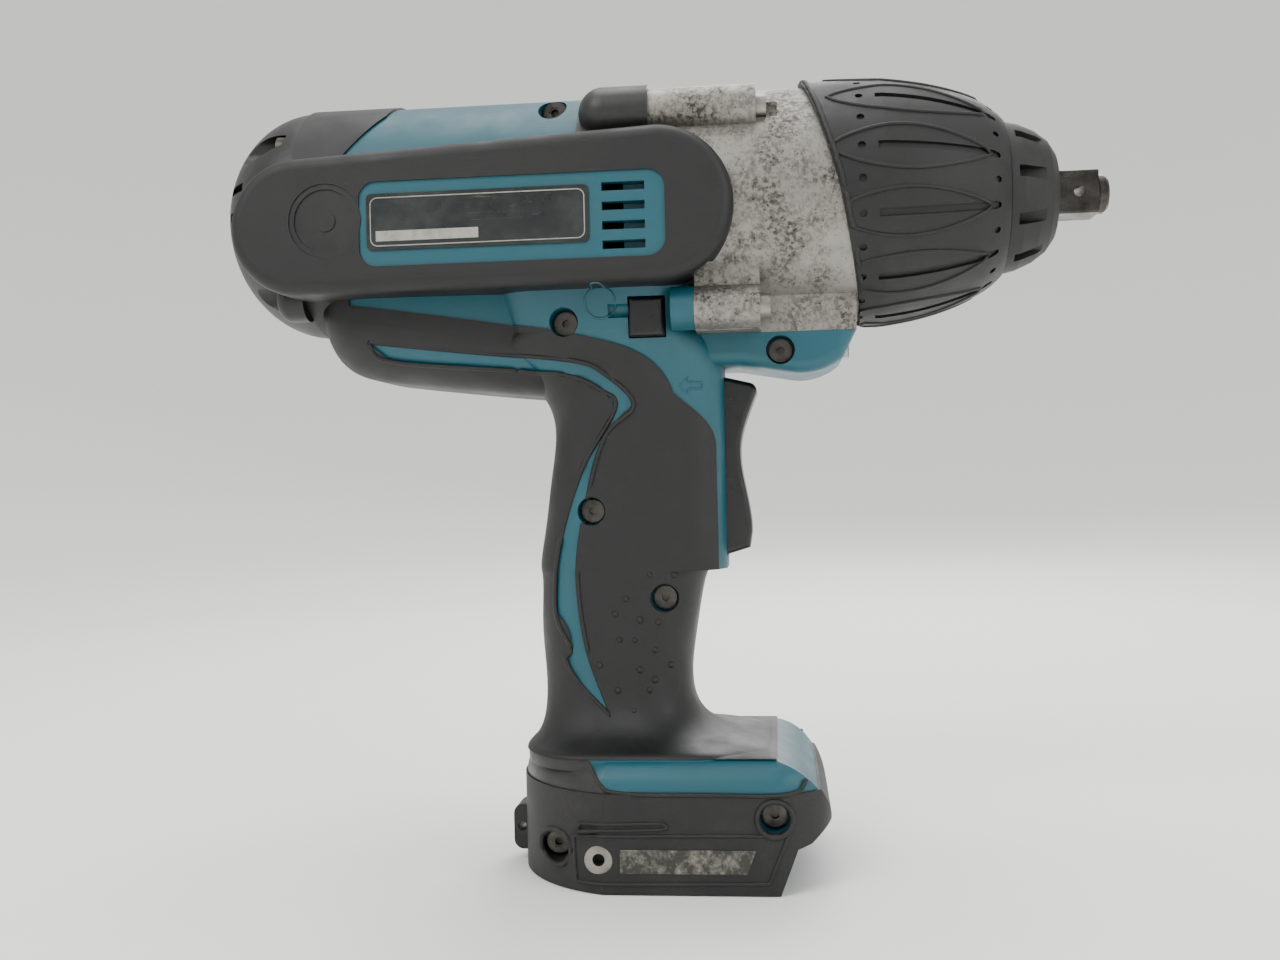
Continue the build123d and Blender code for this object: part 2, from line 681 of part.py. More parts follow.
save("front_bush", tube(bush_x, nose_x, bush_r, journal_r + fit_gap))

# Rubber bumper: its rear edge slants forward towards the bottom
bumper_outline = [(66.0, 36.3), (78.0, 34.4), (88.0, 31.5), (97.0, 27.4), (101.8, 23.4)]
bumper_front_x = case_x + nose_boss_x


def bumper_skin(sink):
    """The bumper's outer form, sunk in by a depth."""
    rear_r = bumper_outline[0][1] - sink
    edges = [
        Line((case_x + 38, z0), (case_x + 38, z0 + rear_r)),
        Line((case_x + 38, z0 + rear_r), (case_x + 66, z0 + rear_r)),
        Spline(*[(case_x + x, z0 + r - sink) for x, r in bumper_outline]),
        Line((bumper_front_x, z0 + bumper_outline[-1][1] - sink), (bumper_front_x, z0)),
        Line((bumper_front_x, z0), (case_x + 38, z0)),
    ]
    return revolve(Plane.XZ * make_face(edges), spindle_line, 360)


bumper_rear = plate(make_face(Polyline(
    (case_x + 30, z0 + 60), (case_x + 42.0, z0 + 40), (case_x + 53.0, z0), (case_x + 61.5, z0 - 45),
    (case_x + 30, z0 - 45), close=True,
)), -60, 60)
bumper = bumper_skin(0) - turned(
    (case_x, 0), (case_x, barrel_r), *[(case_x + x, r) for x, r in case_outline],
    (bumper_front_x, case_outline[-1][1]), (bumper_front_x + 1, 0),
)
bumper -= [bumper_rear, saddle]
groove_count = 12
groove_band = bumper_skin(0) - bumper_skin(0.9)
groove = block(case_x + 64, case_x + 97, -1.1, 1.1, z0 + 20, z0 + 40) & groove_band
pit_count = 24
pit = Pos(case_x + 59.5, 0, z0 + 30) * Cylinder(1.1, 20) & groove_band
front_pit = Pos(case_x + 97.5, 0, z0 + 20) * Cylinder(0.9, 20) & groove_band
bumper -= around(groove, groove_count, 15) + around(pit, pit_count, 0) + around(front_pit, pit_count, 0)
save("bumper", bumper)

# Slotted rubber ring round the nose
ring_back_x = bumper_front_x + play
nose_ring = turned(
    (ring_back_x, 22.4), (case_x + 106.0, 21.6), (case_x + 111.0, 19.4), (case_x + 114.8, 16.6),
    (drive_x, 13.4), (drive_x, journal_r + 0.8), (nose_x, journal_r + 0.8), (nose_x, nose_boss_r - 2),
    (nose_x - 2, nose_boss_r), (ring_back_x, nose_boss_r),
)
nose_slots = 10
nose_slot = block(case_x + 104.3, case_x + 112.5, -1.7, 1.7, z0 + 18.2, z0 + 30)
nose_ring -= around(nose_slot, nose_slots, 9)
save("nose_ring", nose_ring)

# ---------------------------------------------------------------------------
# Gears
# ---------------------------------------------------------------------------
def rolled(base_r, r):
    """How far an involute has turned from its root when it reaches radius r."""
    ratio = r / base_r
    return math.sqrt(ratio * ratio - 1) - math.atan(math.sqrt(ratio * ratio - 1))


def gear_face(teeth, inner_r, outer_r, slack, turn):
    """A toothed outline: a tooth is centred at "turn" degrees, its flanks are involutes."""
    pitch_r = tooth_module * teeth / 2
    base_r = pitch_r * math.cos(math.radians(pressure_angle))
    half = math.pi / (2 * teeth) - slack / (2 * pitch_r) + rolled(base_r, pitch_r)
    start_r = max(inner_r, base_r * 1.0005)
    flank = [start_r + (outer_r - start_r) * share for share in (0, 0.5, 1)]
    edges = []
    for i in range(teeth):
        middle = math.radians(turn) + 2 * math.pi * i / teeth

        def spot(r, side):
            angle = middle + side * (half - rolled(base_r, max(r, base_r)))
            return (r * math.cos(angle), r * math.sin(angle))

        low, high = [spot(r, -1) for r in flank], [spot(r, 1) for r in reversed(flank)]
        foot_low, foot_high = spot(inner_r, -1), spot(inner_r, 1)
        after = 2 * math.pi / teeth
        next_foot = (
            foot_low[0] * math.cos(after) - foot_low[1] * math.sin(after),
            foot_low[0] * math.sin(after) + foot_low[1] * math.cos(after),
        )
        if start_r > inner_r:
            edges.append(Line(foot_low, low[0]))
        edges.append(ThreePointArc(*low))
        edges.append(Line(low[-1], high[0]))
        edges.append(ThreePointArc(*high))
        if start_r > inner_r:
            edges.append(Line(high[-1], foot_high))
        edges.append(Line(foot_high, next_foot))
    return make_face(edges)


addendum = 0.8 * tooth_module
dedendum = 1.15 * tooth_module
tooth_slack = 0.14
centre_distance = tooth_module * (sun_teeth + planet_teeth) / 2
ring_ratio = 1 + ring_teeth / sun_teeth

gear_x = case_x + 14.0
ring_pitch_r = tooth_module * ring_teeth / 2
# The ring's spaces are the teeth of an imagined outside gear, with a space centred at 0 degrees
ring_space = gear_face(ring_teeth, ring_pitch_r - addendum, ring_pitch_r + dedendum, -tooth_slack, 0)
ring_gear = disc_part(Circle(ring_gear_r), gear_x - 1, case_x + gear_room_length)
ring_gear -= disc_part(ring_space, gear_x - 2, case_x + gear_room_length + 1)
save("ring_gear", ring_gear)

first_planet = 90.0
planet_blank_r = tooth_module * planet_teeth / 2
for i in range(planet_count):
    place = first_planet + i * 360 / planet_count
    y, z = centre_distance * math.cos(math.radians(place)), centre_distance * math.sin(math.radians(place))
    mesh_turn = place + 180 + place * sun_teeth / planet_teeth + 180 / planet_teeth
    face = gear_face(
        planet_teeth, planet_blank_r - dedendum, planet_blank_r + addendum, tooth_slack, mesh_turn
    )
    face -= Circle(planet_pin_r + fit_gap)
    save(f"planet_gear_{i + 1}", disc_part(Pos(y, z) * face, gear_x, gear_x + gear_width))

# ---------------------------------------------------------------------------
# Gear case and bearings
# ---------------------------------------------------------------------------
motor_bearing_x = case_x - 5.0
spindle_bearing_x = case_x + 3.0
gear_case = rod(case_x - 6, gear_x - 1, ring_gear_r)
gear_case -= [
    rod(motor_bearing_x, motor_bearing_x + bearing_width, bearing_r),
    rod(case_x - 7, gear_x, bearing_r - 2),
    rod(spindle_bearing_x, spindle_bearing_x + bearing_width, spindle_bearing_r),
    rod(spindle_bearing_x + 1, gear_x, spindle_hub_r + 2),
    rod(spindle_bearing_x + bearing_width, gear_x, 25.0),
]
save("gear_case", gear_case)


def ball_bearing(x, width, outer_r, inner_r, balls):
    """Races with a ring of balls between them, held by a shared cage plate."""
    third = (outer_r - inner_r) / 3
    middle_r = (outer_r + inner_r) / 2
    races = tube(x, x + width, outer_r, outer_r - third) + tube(x, x + width, inner_r + third, inner_r)
    cage = tube(x + width / 2 - 0.5, x + width / 2 + 0.5, outer_r - third + 0.2, inner_r + third - 0.2)
    ball = Pos(x + width / 2, 0, z0 + middle_r) * Sphere(third * 0.75)
    bearing = races + cage
    for each in around(ball, balls):
        bearing += each
    return bearing


save("rear_bearing", ball_bearing(rear_bearing_x, bearing_width, bearing_r, shaft_r + fit_gap, 7))
save("front_bearing", ball_bearing(motor_bearing_x, bearing_width, bearing_r, shaft_r + fit_gap, 7))
save("spindle_bearing", ball_bearing(
    spindle_bearing_x, bearing_width, spindle_bearing_r, spindle_hub_r + fit_gap, 12
))

# ---------------------------------------------------------------------------
# Motor
# ---------------------------------------------------------------------------
yoke_x = seam_x + 22.0
yoke_end_x = yoke_x + yoke_length
magnet_gap = 0.8
save("motor_yoke", tube(yoke_x, yoke_end_x, yoke_r, yoke_r - yoke_wall))
magnet_ring = tube(yoke_x + 4, yoke_end_x - 4, yoke_r - yoke_wall, core_r + magnet_gap)
magnet_ring -= block(yoke_x, yoke_end_x, -12, 12, z0 - 40, z0 + 40)
save("magnets", magnet_ring)

core_x = yoke_x + 8.0
slots = 12
slot_room = block(core_x - 1, core_x + core_length + 1, -1.0, 1.0, z0 + core_r - 3, z0 + core_r + 1)
slot_room += rod(core_x - 1, core_x + core_length + 1, 2.3, 0, z0 + core_r - 4.5)
core = tube(core_x, core_x + core_length, core_r, shaft_r + fit_gap)
save("armature_core", core - around(slot_room, slots))

coil = rod(core_x - 8, core_x + core_length + 8, 2.1, 0, z0 + core_r - 4.5)
end_ring_front = tube(core_x + core_length + 0.2, core_x + core_length + 8, core_r - 2.2, shaft_r + 3)
end_ring_rear = tube(core_x - 8, core_x - 0.2, core_r - 2.2, shaft_r + 3)
windings = fillet(end_ring_front.edges().filter_by(GeomType.CIRCLE).sort_by(SortBy.RADIUS)[-2:], 2.5)
windings += fillet(end_ring_rear.edges().filter_by(GeomType.CIRCLE).sort_by(SortBy.RADIUS)[-2:], 2.5)
for each in around(coil, slots):
    windings += each
save("armature_windings", windings)

commutator_x = core_x - 9.0 - commutator_length
bars = 12
commutator = tube(commutator_x, commutator_x + commutator_length, commutator_r, shaft_r + fit_gap)
bar_gap = block(
    commutator_x - 1, commutator_x + commutator_length - 2, -0.3, 0.3,
    z0 + commutator_r - 1.2, z0 + 20,
)
save("commutator", commutator - around(bar_gap, bars))

fan_x = case_x - 17.5
hub = tube(fan_x, fan_x + 10.5, 8.0, shaft_r + fit_gap)
fan = hub + tube(fan_x, fan_x + 1.5, fan_r, 7.5)
blade = block(fan_x + 1, fan_x + 10, -0.7, 0.7, z0 + 7.5, z0 + fan_r)
for each in around(blade, fan_blades):
    fan += each
save("motor_fan", fan)

pinion_root_r = tooth_module * sun_teeth / 2 - dedendum
sun_face = gear_face(sun_teeth, pinion_root_r, tooth_module * sun_teeth / 2 + addendum, tooth_slack, 0)
shaft = rod(rear_bearing_x - 0.3, case_x + 4, shaft_r) + rod(case_x + 3, gear_x, pinion_root_r)
shaft += disc_part(sun_face, gear_x - 1, gear_x + gear_width)
save("armature_shaft", shaft)

# Brush gear: an insulating plate with two holders, brushes and springs
brush_x0, brush_x1 = commutator_x + 2.5, commutator_x + 9.5
brush_plate = tube(yoke_x - 3, yoke_x, yoke_r, commutator_r + 3)
holder = block(brush_x0 - 1.5, yoke_x - 3, 12.5, 35.5, z0 - 5.5, z0 + 5.5)
holder -= block(brush_x0 - 0.1, brush_x1 + 0.1, 10, 34, z0 - 4.1, z0 + 4.1)
save("brush_plate", brush_plate)
save("brush_holders", holder, mirror(holder, Plane.XZ))
brush = block(brush_x0, brush_x1, commutator_r - 1, 26, z0 - 4, z0 + 4)
brush -= rod(commutator_x, commutator_x + commutator_length, commutator_r + fit_gap)
save("carbon_brushes", brush, mirror(brush, Plane.XZ))


def coil_spring(radius, wire_r, turns, length):
    """A helical compression spring standing on Z = 0."""
    height = length - 2 * wire_r
    line = Helix(pitch=height / turns, height=height, radius=radius)
    wire = Plane(origin=line @ 0, z_dir=line % 0) * Circle(wire_r)
    return Pos(0, 0, wire_r) * sweep(wire, path=line)


brush_spring = coil_spring(2.6, 0.4, 5.0, 8.0)
place_spring = Pos((brush_x0 + brush_x1) / 2, 26, z0) * Rot(-90, 0, 0)
save("brush_springs", place_spring * brush_spring, mirror(place_spring * brush_spring, Plane.XZ))

# ---------------------------------------------------------------------------
# Spindle, hammer and anvil
# ---------------------------------------------------------------------------
carrier_x = gear_x - 3.5
flange_x = gear_x + gear_width + 0.8
flange_front_x = flange_x + flange_width
hammer_x = flange_front_x + hammer_travel + 1.4
hammer_front_x = hammer_x + hammer_length
anvil_x = hammer_front_x + 1.0
wing_front_x = anvil_x + jaw_height - 0.1
washer_x = wing_front_x + 0.2

spindle = rod(spindle_bearing_x, carrier_x + 1, spindle_hub_r) + rod(carrier_x, gear_x - 0.5, jaw_r - 0.2)
spindle += rod(flange_x, flange_front_x, flange_r)
post = rod(gear_x - 1, flange_x + 1, 3.2, 0, z0 + 19.4)
for each in around(post, planet_count, 180 / planet_count):
    spindle += each
spindle += rod(flange_front_x - 1, anvil_x - 0.4, spindle_r) + rod(anvil_x - 1, anvil_x + 9, pilot_r)
pin_room = rod(carrier_x + 0.5, flange_front_x - 0.5, planet_pin_r, 0, z0 + centre_distance)
ball_x = hammer_x + 7.0
ball_room = Pos(ball_x, 0, z0 + spindle_r) * Sphere(ball_r + fit_gap)
spindle -= [rod(spindle_bearing_x - 1, flange_x + 1, sun_teeth * tooth_module / 2 + 2)]
spindle -= around(pin_room, planet_count) + around(ball_room, 2, 90)
save("spindle", spindle)
pin = rod(carrier_x + 0.5, flange_front_x - 0.5, planet_pin_r, 0, z0 + centre_distance)
save("planet_pins", *around(pin, planet_count))
ball = Pos(ball_x, 0, z0 + spindle_r) * Sphere(ball_r)
save("cam_balls", *around(ball, 2, 90))

pocket_r0, pocket_r1 = 15.5, 23.5
pocket_x = hammer_x + 16.0
spring_seat = tube(flange_front_x, flange_front_x + 1.2, pocket_r1 - 0.5, spindle_r + fit_gap)
save("spring_washer", spring_seat)
spring_length = pocket_x - flange_front_x - 1.2
save("hammer_spring", Pos(flange_front_x + 1.2, 0, z0) * Rot(0, 90, 0) * coil_spring(
    spring_r, spring_wire_r, spring_turns, spring_length
))

hammer = turned(
    (hammer_x, spindle_r + 0.06), (hammer_x, pocket_r0), (pocket_x, pocket_r0), (pocket_x, pocket_r1),
    (hammer_x, pocket_r1), (hammer_x, hammer_r), (hammer_front_x - 3, hammer_r),
    (hammer_front_x, hammer_r - 3), (hammer_front_x, spindle_r + 0.06),
)


def sector(inner_r, outer_r, half_angle, middle, x0, x1):
    """Part of a ring, seen from the end."""
    a0, a1 = math.radians(middle - half_angle), math.radians(middle + half_angle)
    mid = math.radians(middle)

    def on(r, angle):
        return (r * math.cos(angle), r * math.sin(angle))

    face = make_face([
        Line(on(inner_r, a0), on(outer_r, a0)),
        ThreePointArc(on(outer_r, a0), on(outer_r, mid), on(outer_r, a1)),
        Line(on(outer_r, a1), on(inner_r, a1)),
        ThreePointArc(on(inner_r, a1), on(inner_r, mid), on(inner_r, a0)),
    ])
    return disc_part(face, x0, x1)


contact_gap = 1.0                    # angle left between a jaw and a wing at rest
jaw_turn = wing_half_angle + contact_gap + jaw_half_angle
for middle in (jaw_turn, jaw_turn + 180):
    hammer += sector(
        journal_r + 3, jaw_r, jaw_half_angle, middle, hammer_front_x - 1, anvil_x + jaw_height - 0.4,
    )
ball_track = rod(ball_x, ball_x + hammer_travel, ball_r + fit_gap, 0, z0 + spindle_r)
ball_track += Pos(ball_x, 0, z0 + spindle_r) * Sphere(ball_r + fit_gap)
ball_track += Pos(ball_x + hammer_travel, 0, z0 + spindle_r) * Sphere(ball_r + fit_gap)
save("hammer", hammer - around(ball_track, 2, 90))

tip_x = drive_x + drive_length
end_x = tip_x + drive_tip
square_face = RectangleRounded(drive_square, drive_square, 0.8)
anvil = rod(anvil_x, wing_front_x, journal_r + 2)
for middle in (0, 180):
    anvil += sector(journal_r, jaw_r, wing_half_angle, middle, anvil_x, wing_front_x)
anvil += rod(wing_front_x - 1, drive_x + 0.4, journal_r)
anvil += disc_part(square_face, drive_x - 1, tip_x)
tip = rod(tip_x - 0.5, end_x, 5.4)
anvil += chamfer(tip.edges().sort_by(Axis.X)[-1], 0.8)
anvil -= tube(tip_x + 0.5, tip_x + 2.3, 9, 4.4)
anvil -= [rod(anvil_x - 1, anvil_x + 9.6, pilot_r + fit_gap), cross_rod(drive_x + 7.0, z0, 1.6, -20, 20)]
save("anvil", anvil)
save("anvil_washer", tube(washer_x, shoulder_x - 0.1, journal_r + 6, journal_r + fit_gap))
friction_ring = tube(tip_x + 0.6, tip_x + 2.2, 5.7, 4.9)
save("friction_ring", friction_ring - block(tip_x, end_x, -0.8, 0.8, z0, z0 + 9))
save("friction_o_ring", tube(tip_x + 0.7, tip_x + 2.1, 4.9, 4.4))

# ---------------------------------------------------------------------------
# Trigger, switch, reversing lever, work light
# ---------------------------------------------------------------------------
flange_depth = 5.3
trigger_face = make_face([
    Polyline(
        (case_x + 12, trigger_low), (case_x + 12, trigger_high), (case_x + 20, trigger_high),
        at(26.4, 53.0),
    ),
    ThreePointArc(at(26.4, 53.0), at(28.3, 54.2), at(28.7, 56.0)),
    Spline(at(28.7, 56.0), at(25.4, 64.5), at(23.7, 71.0), at(24.7, 84.0), at(26.5, 98.0)),
    Polyline(at(26.5, 98.0), at(25.8, 102.5), (case_x + 19, trigger_low), (case_x + 12, trigger_low)),
])
trigger = plate(trigger_face, -trigger_half_width, trigger_half_width)
front_edges = [e for e in trigger.faces().filter_by(Axis.Y).edges() if e.center().X > case_x + 20.5]
trigger = fillet(front_edges, 1.6)
trigger_back_x = case_x + 9.5
trigger += block(
    trigger_back_x, trigger_back_x + flange_depth, -trigger_half_width - 2, trigger_half_width + 2,
    trigger_low - 1.5, trigger_high + 1.5,
)
plunger_r, plunger_z = 2.5, z0 - 77.0
plunger_end_x = case_x - 5.0
trigger += rod(plunger_end_x, trigger_back_x + 1, plunger_r, 0, plunger_z)
save("trigger", trigger)

spring_pocket_x = case_x - 4.0
switch = block(switch_rear_x, switch_front_x, -switch_half_width, switch_half_width, switch_low, switch_high)
switch -= [
    rod(plunger_end_x - trigger_travel - 0.7, case_x + 9, plunger_r + fit_gap, 0, plunger_z),
    rod(spring_pocket_x, case_x + 9, 5.4, 0, plunger_z),
]
save("switch_body", switch)
trigger_spring = coil_spring(4.2, 0.5, 6.0, trigger_back_x - spring_pocket_x)
save("trigger_spring", Pos(spring_pocket_x, 0, plunger_z) * Rot(0, 90, 0) * trigger_spring)

lever_bar_top = lever_low + 5.0
lever = block(
    lever_x - 3.0, lever_x + 3.0, -lever_end + 1, lever_end - 1, lever_low, lever_bar_top
)
for side in (-1, 1):
    y0, y1 = sorted((side * lever_knob_inner, side * lever_end))
    knob = block(lever_x - lever_half_width, lever_x + lever_half_width, y0, y1, lever_low, lever_high)
    face = knob.faces().sort_by(Axis.Y)[-1 if side > 0 else 0]
    lever += fillet(face.edges(), 1.2)
save("reversing_lever", lever)

light_x = case_x + 56.4
light_lens = block(case_x + 51.0, light_x, -5.0, 5.0, light_z - 2.0, light_z + 2.0)
save("light_lens", light_lens)
light_board = block(case_x + 49.0, case_x + 51.0, -6.5, 6.5, light_z - 4.0, light_z + 3.8)
save("light_board", light_board)

# ---------------------------------------------------------------------------
# Foot: terminals, leads, hook inserts, strap lug
# ---------------------------------------------------------------------------
terminal = block(bay_rear_x + fit_gap, bay_rear_x + 21, -22, 22, 5.5, bay_height)
terminal_slots = [block(bay_rear_x + 8, bay_rear_x + 22, y - 1.6, y + 1.6, 4, 13) for y in (-14, 0, 14)]
terminal_blades = [block(bay_rear_x + 6, bay_rear_x + 20, y - 0.5, y + 0.5, 6.5, 12.0) for y in (-14, 0, 14)]
save("terminal_block", terminal - terminal_slots - terminal_blades)
save("terminal_blades", *terminal_blades)

leads = []
for side in (-1, 1):
    y = side * lead_y
    lead = Pos(lead_x, y, bay_height) * Cylinder(lead_r, switch_low - bay_height, align=low_centre)
    leads.append(lead)
save("battery_leads", *leads)

lead_run_z = z0 - 44.5
motor_leads = []
for side in (-1, 1):
    y = side * lead_y
    path = FilletPolyline(
        (lead_x, y, switch_high), (lead_x, y, lead_run_z), (yoke_x - 1.5, y, lead_run_z),
        (yoke_x - 1.5, y, z0 - math.sqrt(yoke_r ** 2 - lead_y ** 2) - 0.6), radius=4.5,
    )
    motor_leads.append(sweep(Plane(origin=path @ 0, z_dir=path % 0) * Circle(lead_r), path=path))
save("motor_leads", *motor_leads)

insert_face_y = foot_half_width - 0.4
insert = cross_rod(insert_x, insert_z, insert_r, bay_half_width + 1.05, insert_face_y)
insert -= cross_rod(insert_x, insert_z, insert_thread_r, bay_half_width, 60)
save("hook_inserts", insert, mirror(insert, Plane.XZ))

lug = block(foot_rear_x - 4.5, foot_rear_x + 2.9, -4.9, 4.9, 3.1, 16.9)
lug = fillet(lug.edges().filter_by(Axis.Y).sort_by(Axis.X)[:2], 3.0)
save("strap_lug", lug - cross_rod(foot_rear_x - 1.9, 10.0, 1.4, -9, 9))
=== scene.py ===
# %% [markdown]
# # A cordless impact wrench
# The wrench is a pistol-shaped tool: a motor barrel with a cast hammer case in front of it, a handle, and
# a foot that a battery slides into. Its solid pieces come ready made from the CAD model, in metres, with
# the foot standing on Z = 0 and the nose along +X. This lesson adds what CAD leaves out: finishes, wear,
# and the small raised detail that a mould leaves. The CAD pieces are never moved, so every new piece is
# placed by measuring them.

# %% Load the CAD pieces
import math
import bmesh
import bpy
import numpy as np
from mathutils import Matrix, Vector
from mathutils.bvhtree import BVHTree


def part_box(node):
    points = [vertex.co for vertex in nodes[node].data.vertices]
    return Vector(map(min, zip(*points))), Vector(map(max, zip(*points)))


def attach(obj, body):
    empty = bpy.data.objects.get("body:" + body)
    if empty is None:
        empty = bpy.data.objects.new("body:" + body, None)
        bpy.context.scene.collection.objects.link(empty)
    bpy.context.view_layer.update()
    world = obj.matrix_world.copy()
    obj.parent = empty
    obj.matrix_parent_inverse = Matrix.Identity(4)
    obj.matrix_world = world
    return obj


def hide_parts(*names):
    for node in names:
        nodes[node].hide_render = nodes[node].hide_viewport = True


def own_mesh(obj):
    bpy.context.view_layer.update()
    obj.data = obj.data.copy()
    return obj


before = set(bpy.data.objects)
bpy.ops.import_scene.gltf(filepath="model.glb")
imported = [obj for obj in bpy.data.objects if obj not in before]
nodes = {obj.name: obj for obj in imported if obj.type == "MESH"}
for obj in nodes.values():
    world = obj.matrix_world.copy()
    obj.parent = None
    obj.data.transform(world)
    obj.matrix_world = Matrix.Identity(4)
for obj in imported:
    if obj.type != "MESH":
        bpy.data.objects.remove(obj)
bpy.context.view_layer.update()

mm = 0.001
case_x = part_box("hammer_case")[0].x
axis_z = (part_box("anvil")[0].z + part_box("anvil")[1].z) / 2
print("CAD pieces:", len(nodes), "| case joint at", round(case_x, 4), "| spindle height", round(axis_z, 4))

# %% [markdown]
# ## The camera
# A tool like this is drawn from the side. The camera stands 0.4 m away at half the tool's height, turned
# 6 degrees towards the tail and leaning a little, so that the barrel rises towards the nose. A camera can
# be aimed with a constraint, but a matrix built from three directions says exactly where it looks, so
# that is used here.

# %% Stand the camera
turn, lean = math.radians(6.0), math.radians(1.3)
back = Vector((math.sin(turn), -math.cos(turn), 0))
level = Vector((math.cos(turn), math.sin(turn), 0))
right = level * math.cos(lean) - Vector((0, 0, 1)) * math.sin(lean)
up = back.cross(right)
camera = bpy.data.objects.new("camera", bpy.data.cameras.new("camera"))
camera.data.lens, camera.data.sensor_width = 36.56, 36.0
camera.matrix_world = Matrix((
    (right.x, up.x, back.x, 0.03406),
    (right.y, up.y, back.y, -0.39781),
    (right.z, up.z, back.z, 0.11543),
    (0, 0, 0, 1),
))
bpy.context.scene.collection.objects.link(camera)
bpy.context.scene.camera = camera
print("camera at", [round(v, 3) for v in camera.matrix_world.translation])

# %% [markdown]
# ## Helpers for colour and nodes
# Paint charts give colours as sRGB hex, while a shader mixes light in linear values, so one function
# converts them. A second small function adds any node with its settings and links, which keeps each
# material short enough to read.

# %% Colour and node helpers
def linear(code):
    """sRGB hex to the linear colour a shader wants."""
    parts = [int(code[i:i + 2], 16) / 255 for i in (1, 3, 5)]
    return (*[c / 12.92 if c <= 0.04045 else ((c + 0.055) / 1.055) ** 2.4 for c in parts], 1.0)


def node(tree, kind, settings=None, **sockets):
    """Adds a node. settings are its properties; sockets are values or outputs, by name or number (s0, s1)."""
    made = tree.nodes.new(kind)
    for key, value in (settings or {}).items():
        setattr(made, key, value)
    for key, value in sockets.items():
        numbered = key[0] == "s" and key[1:].isdigit()
        socket = made.inputs[int(key[1:])] if numbered else made.inputs[key.replace("_", " ")]
        if isinstance(value, bpy.types.NodeSocket):
            tree.links.new(value, socket)
        else:
            socket.default_value = value
    return made


def start(name):
    """A new material, its tree, its shader and the piece's own coordinates."""
    material = bpy.data.materials.new(name)
    material.use_nodes = True
    tree = material.node_tree
    tree.nodes.clear()
    shader = node(tree, "ShaderNodeBsdfPrincipled")
    node(tree, "ShaderNodeOutputMaterial", Surface=shader.outputs[0])
    place = node(tree, "ShaderNodeTexCoord").outputs["Object"]
    return material, tree, shader, place


print("teal #0D6872 in linear:", [round(v, 3) for v in linear("#0D6872")])

# %% [markdown]
# ## Moulded plastic and rubber
# The teal shell is glass-filled nylon from a spark-eroded mould, and the black grip is a soft elastomer
# moulded over it. Both are plain coloured all through, so what the eye reads is the surface: a fine mould
# grain, dusty patches where hands don't rub, and thin scratches. An image texture could show one side
# well; noise on the piece's own coordinates covers every side, so one recipe with a few sizes is used for
# every moulding.

# %% Recipe for a worn moulding
def moulding(name, base, dust, dusty, rough, grain, depth, scratch=0.35, patch=16.0):
    """A moulded surface. grain, patch and depth (the grain's height) are in mm; dusty and scratch are 0 to 1."""
    material, tree, shader, place = start(name)
    cloud = node(tree, "ShaderNodeTexNoise", Vector=place, Scale=1000 / patch, Detail=7.0, Roughness=0.66)
    film = node(tree, "ShaderNodeMapRange", s0=cloud.outputs[0], s1=0.44, s2=0.74, s3=0.0, s4=dusty)
    fine = node(tree, "ShaderNodeTexNoise", Vector=place, Scale=1000 / grain, Detail=3.0, Roughness=0.6)
    speck = node(tree, "ShaderNodeMapRange", s0=fine.outputs[0], s1=0.35, s2=0.7, s3=0.55, s4=1.25)
    mask = node(tree, "ShaderNodeMath", {"operation": "MULTIPLY", "use_clamp": True},
                s0=film.outputs[0], s1=speck.outputs[0])
    drawn = node(
        tree, "ShaderNodeMapping", Vector=place, Rotation=(0.4, 0.7, 0.3), Scale=(25.0, 260.0, 260.0),
    )
    lines = node(tree, "ShaderNodeTexNoise", Vector=drawn.outputs[0], Scale=1.0, Detail=1.0)
    offset = node(tree, "ShaderNodeMath", {"operation": "SUBTRACT"}, s0=lines.outputs[0], s1=0.5)
    near = node(tree, "ShaderNodeMath", {"operation": "ABSOLUTE"}, s0=offset.outputs[0])
    thin = node(tree, "ShaderNodeMapRange", s0=near.outputs[0], s1=0.0, s2=0.006, s3=1.0, s4=0.0)
    where = node(tree, "ShaderNodeTexNoise", Vector=place, Scale=1000 / 23.0, Detail=2.0)
    some = node(tree, "ShaderNodeMapRange", s0=where.outputs[0], s1=0.52, s2=0.6, s3=0.0, s4=scratch)
    scored = node(tree, "ShaderNodeMath", {"operation": "MULTIPLY"}, s0=thin.outputs[0], s1=some.outputs[0])
    body = node(
        tree, "ShaderNodeMix", {"data_type": "RGBA"}, s0=mask.outputs[0], s6=linear(base),
        s7=linear(dust),
    )
    marked = node(
        tree, "ShaderNodeMix", {"data_type": "RGBA"}, s0=scored.outputs[0], s6=body.outputs[2],
        s7=linear(dust),
    )
    sheen = node(
        tree, "ShaderNodeMapRange", s0=cloud.outputs[0], s1=0.3, s2=0.75, s3=rough - 0.1, s4=rough + 0.14,
    )
    grainy = node(tree, "ShaderNodeBump", Strength=0.55, Distance=depth * mm, Height=fine.outputs[0])
    cut = node(tree, "ShaderNodeBump", {"invert": True}, Strength=0.6, Distance=0.12 * mm,
               Height=scored.outputs[0], Normal=grainy.outputs[0])
    wavy = node(
        tree, "ShaderNodeBump", Strength=0.4, Distance=0.3 * mm, Height=cloud.outputs[0],
        Normal=cut.outputs[0],
    )
    for socket, output in (
        ("Base Color", marked.outputs[2]), ("Roughness", sheen.outputs[0]), ("Normal", wavy.outputs[0]),
    ):
        tree.links.new(output, shader.inputs[socket])
    return material


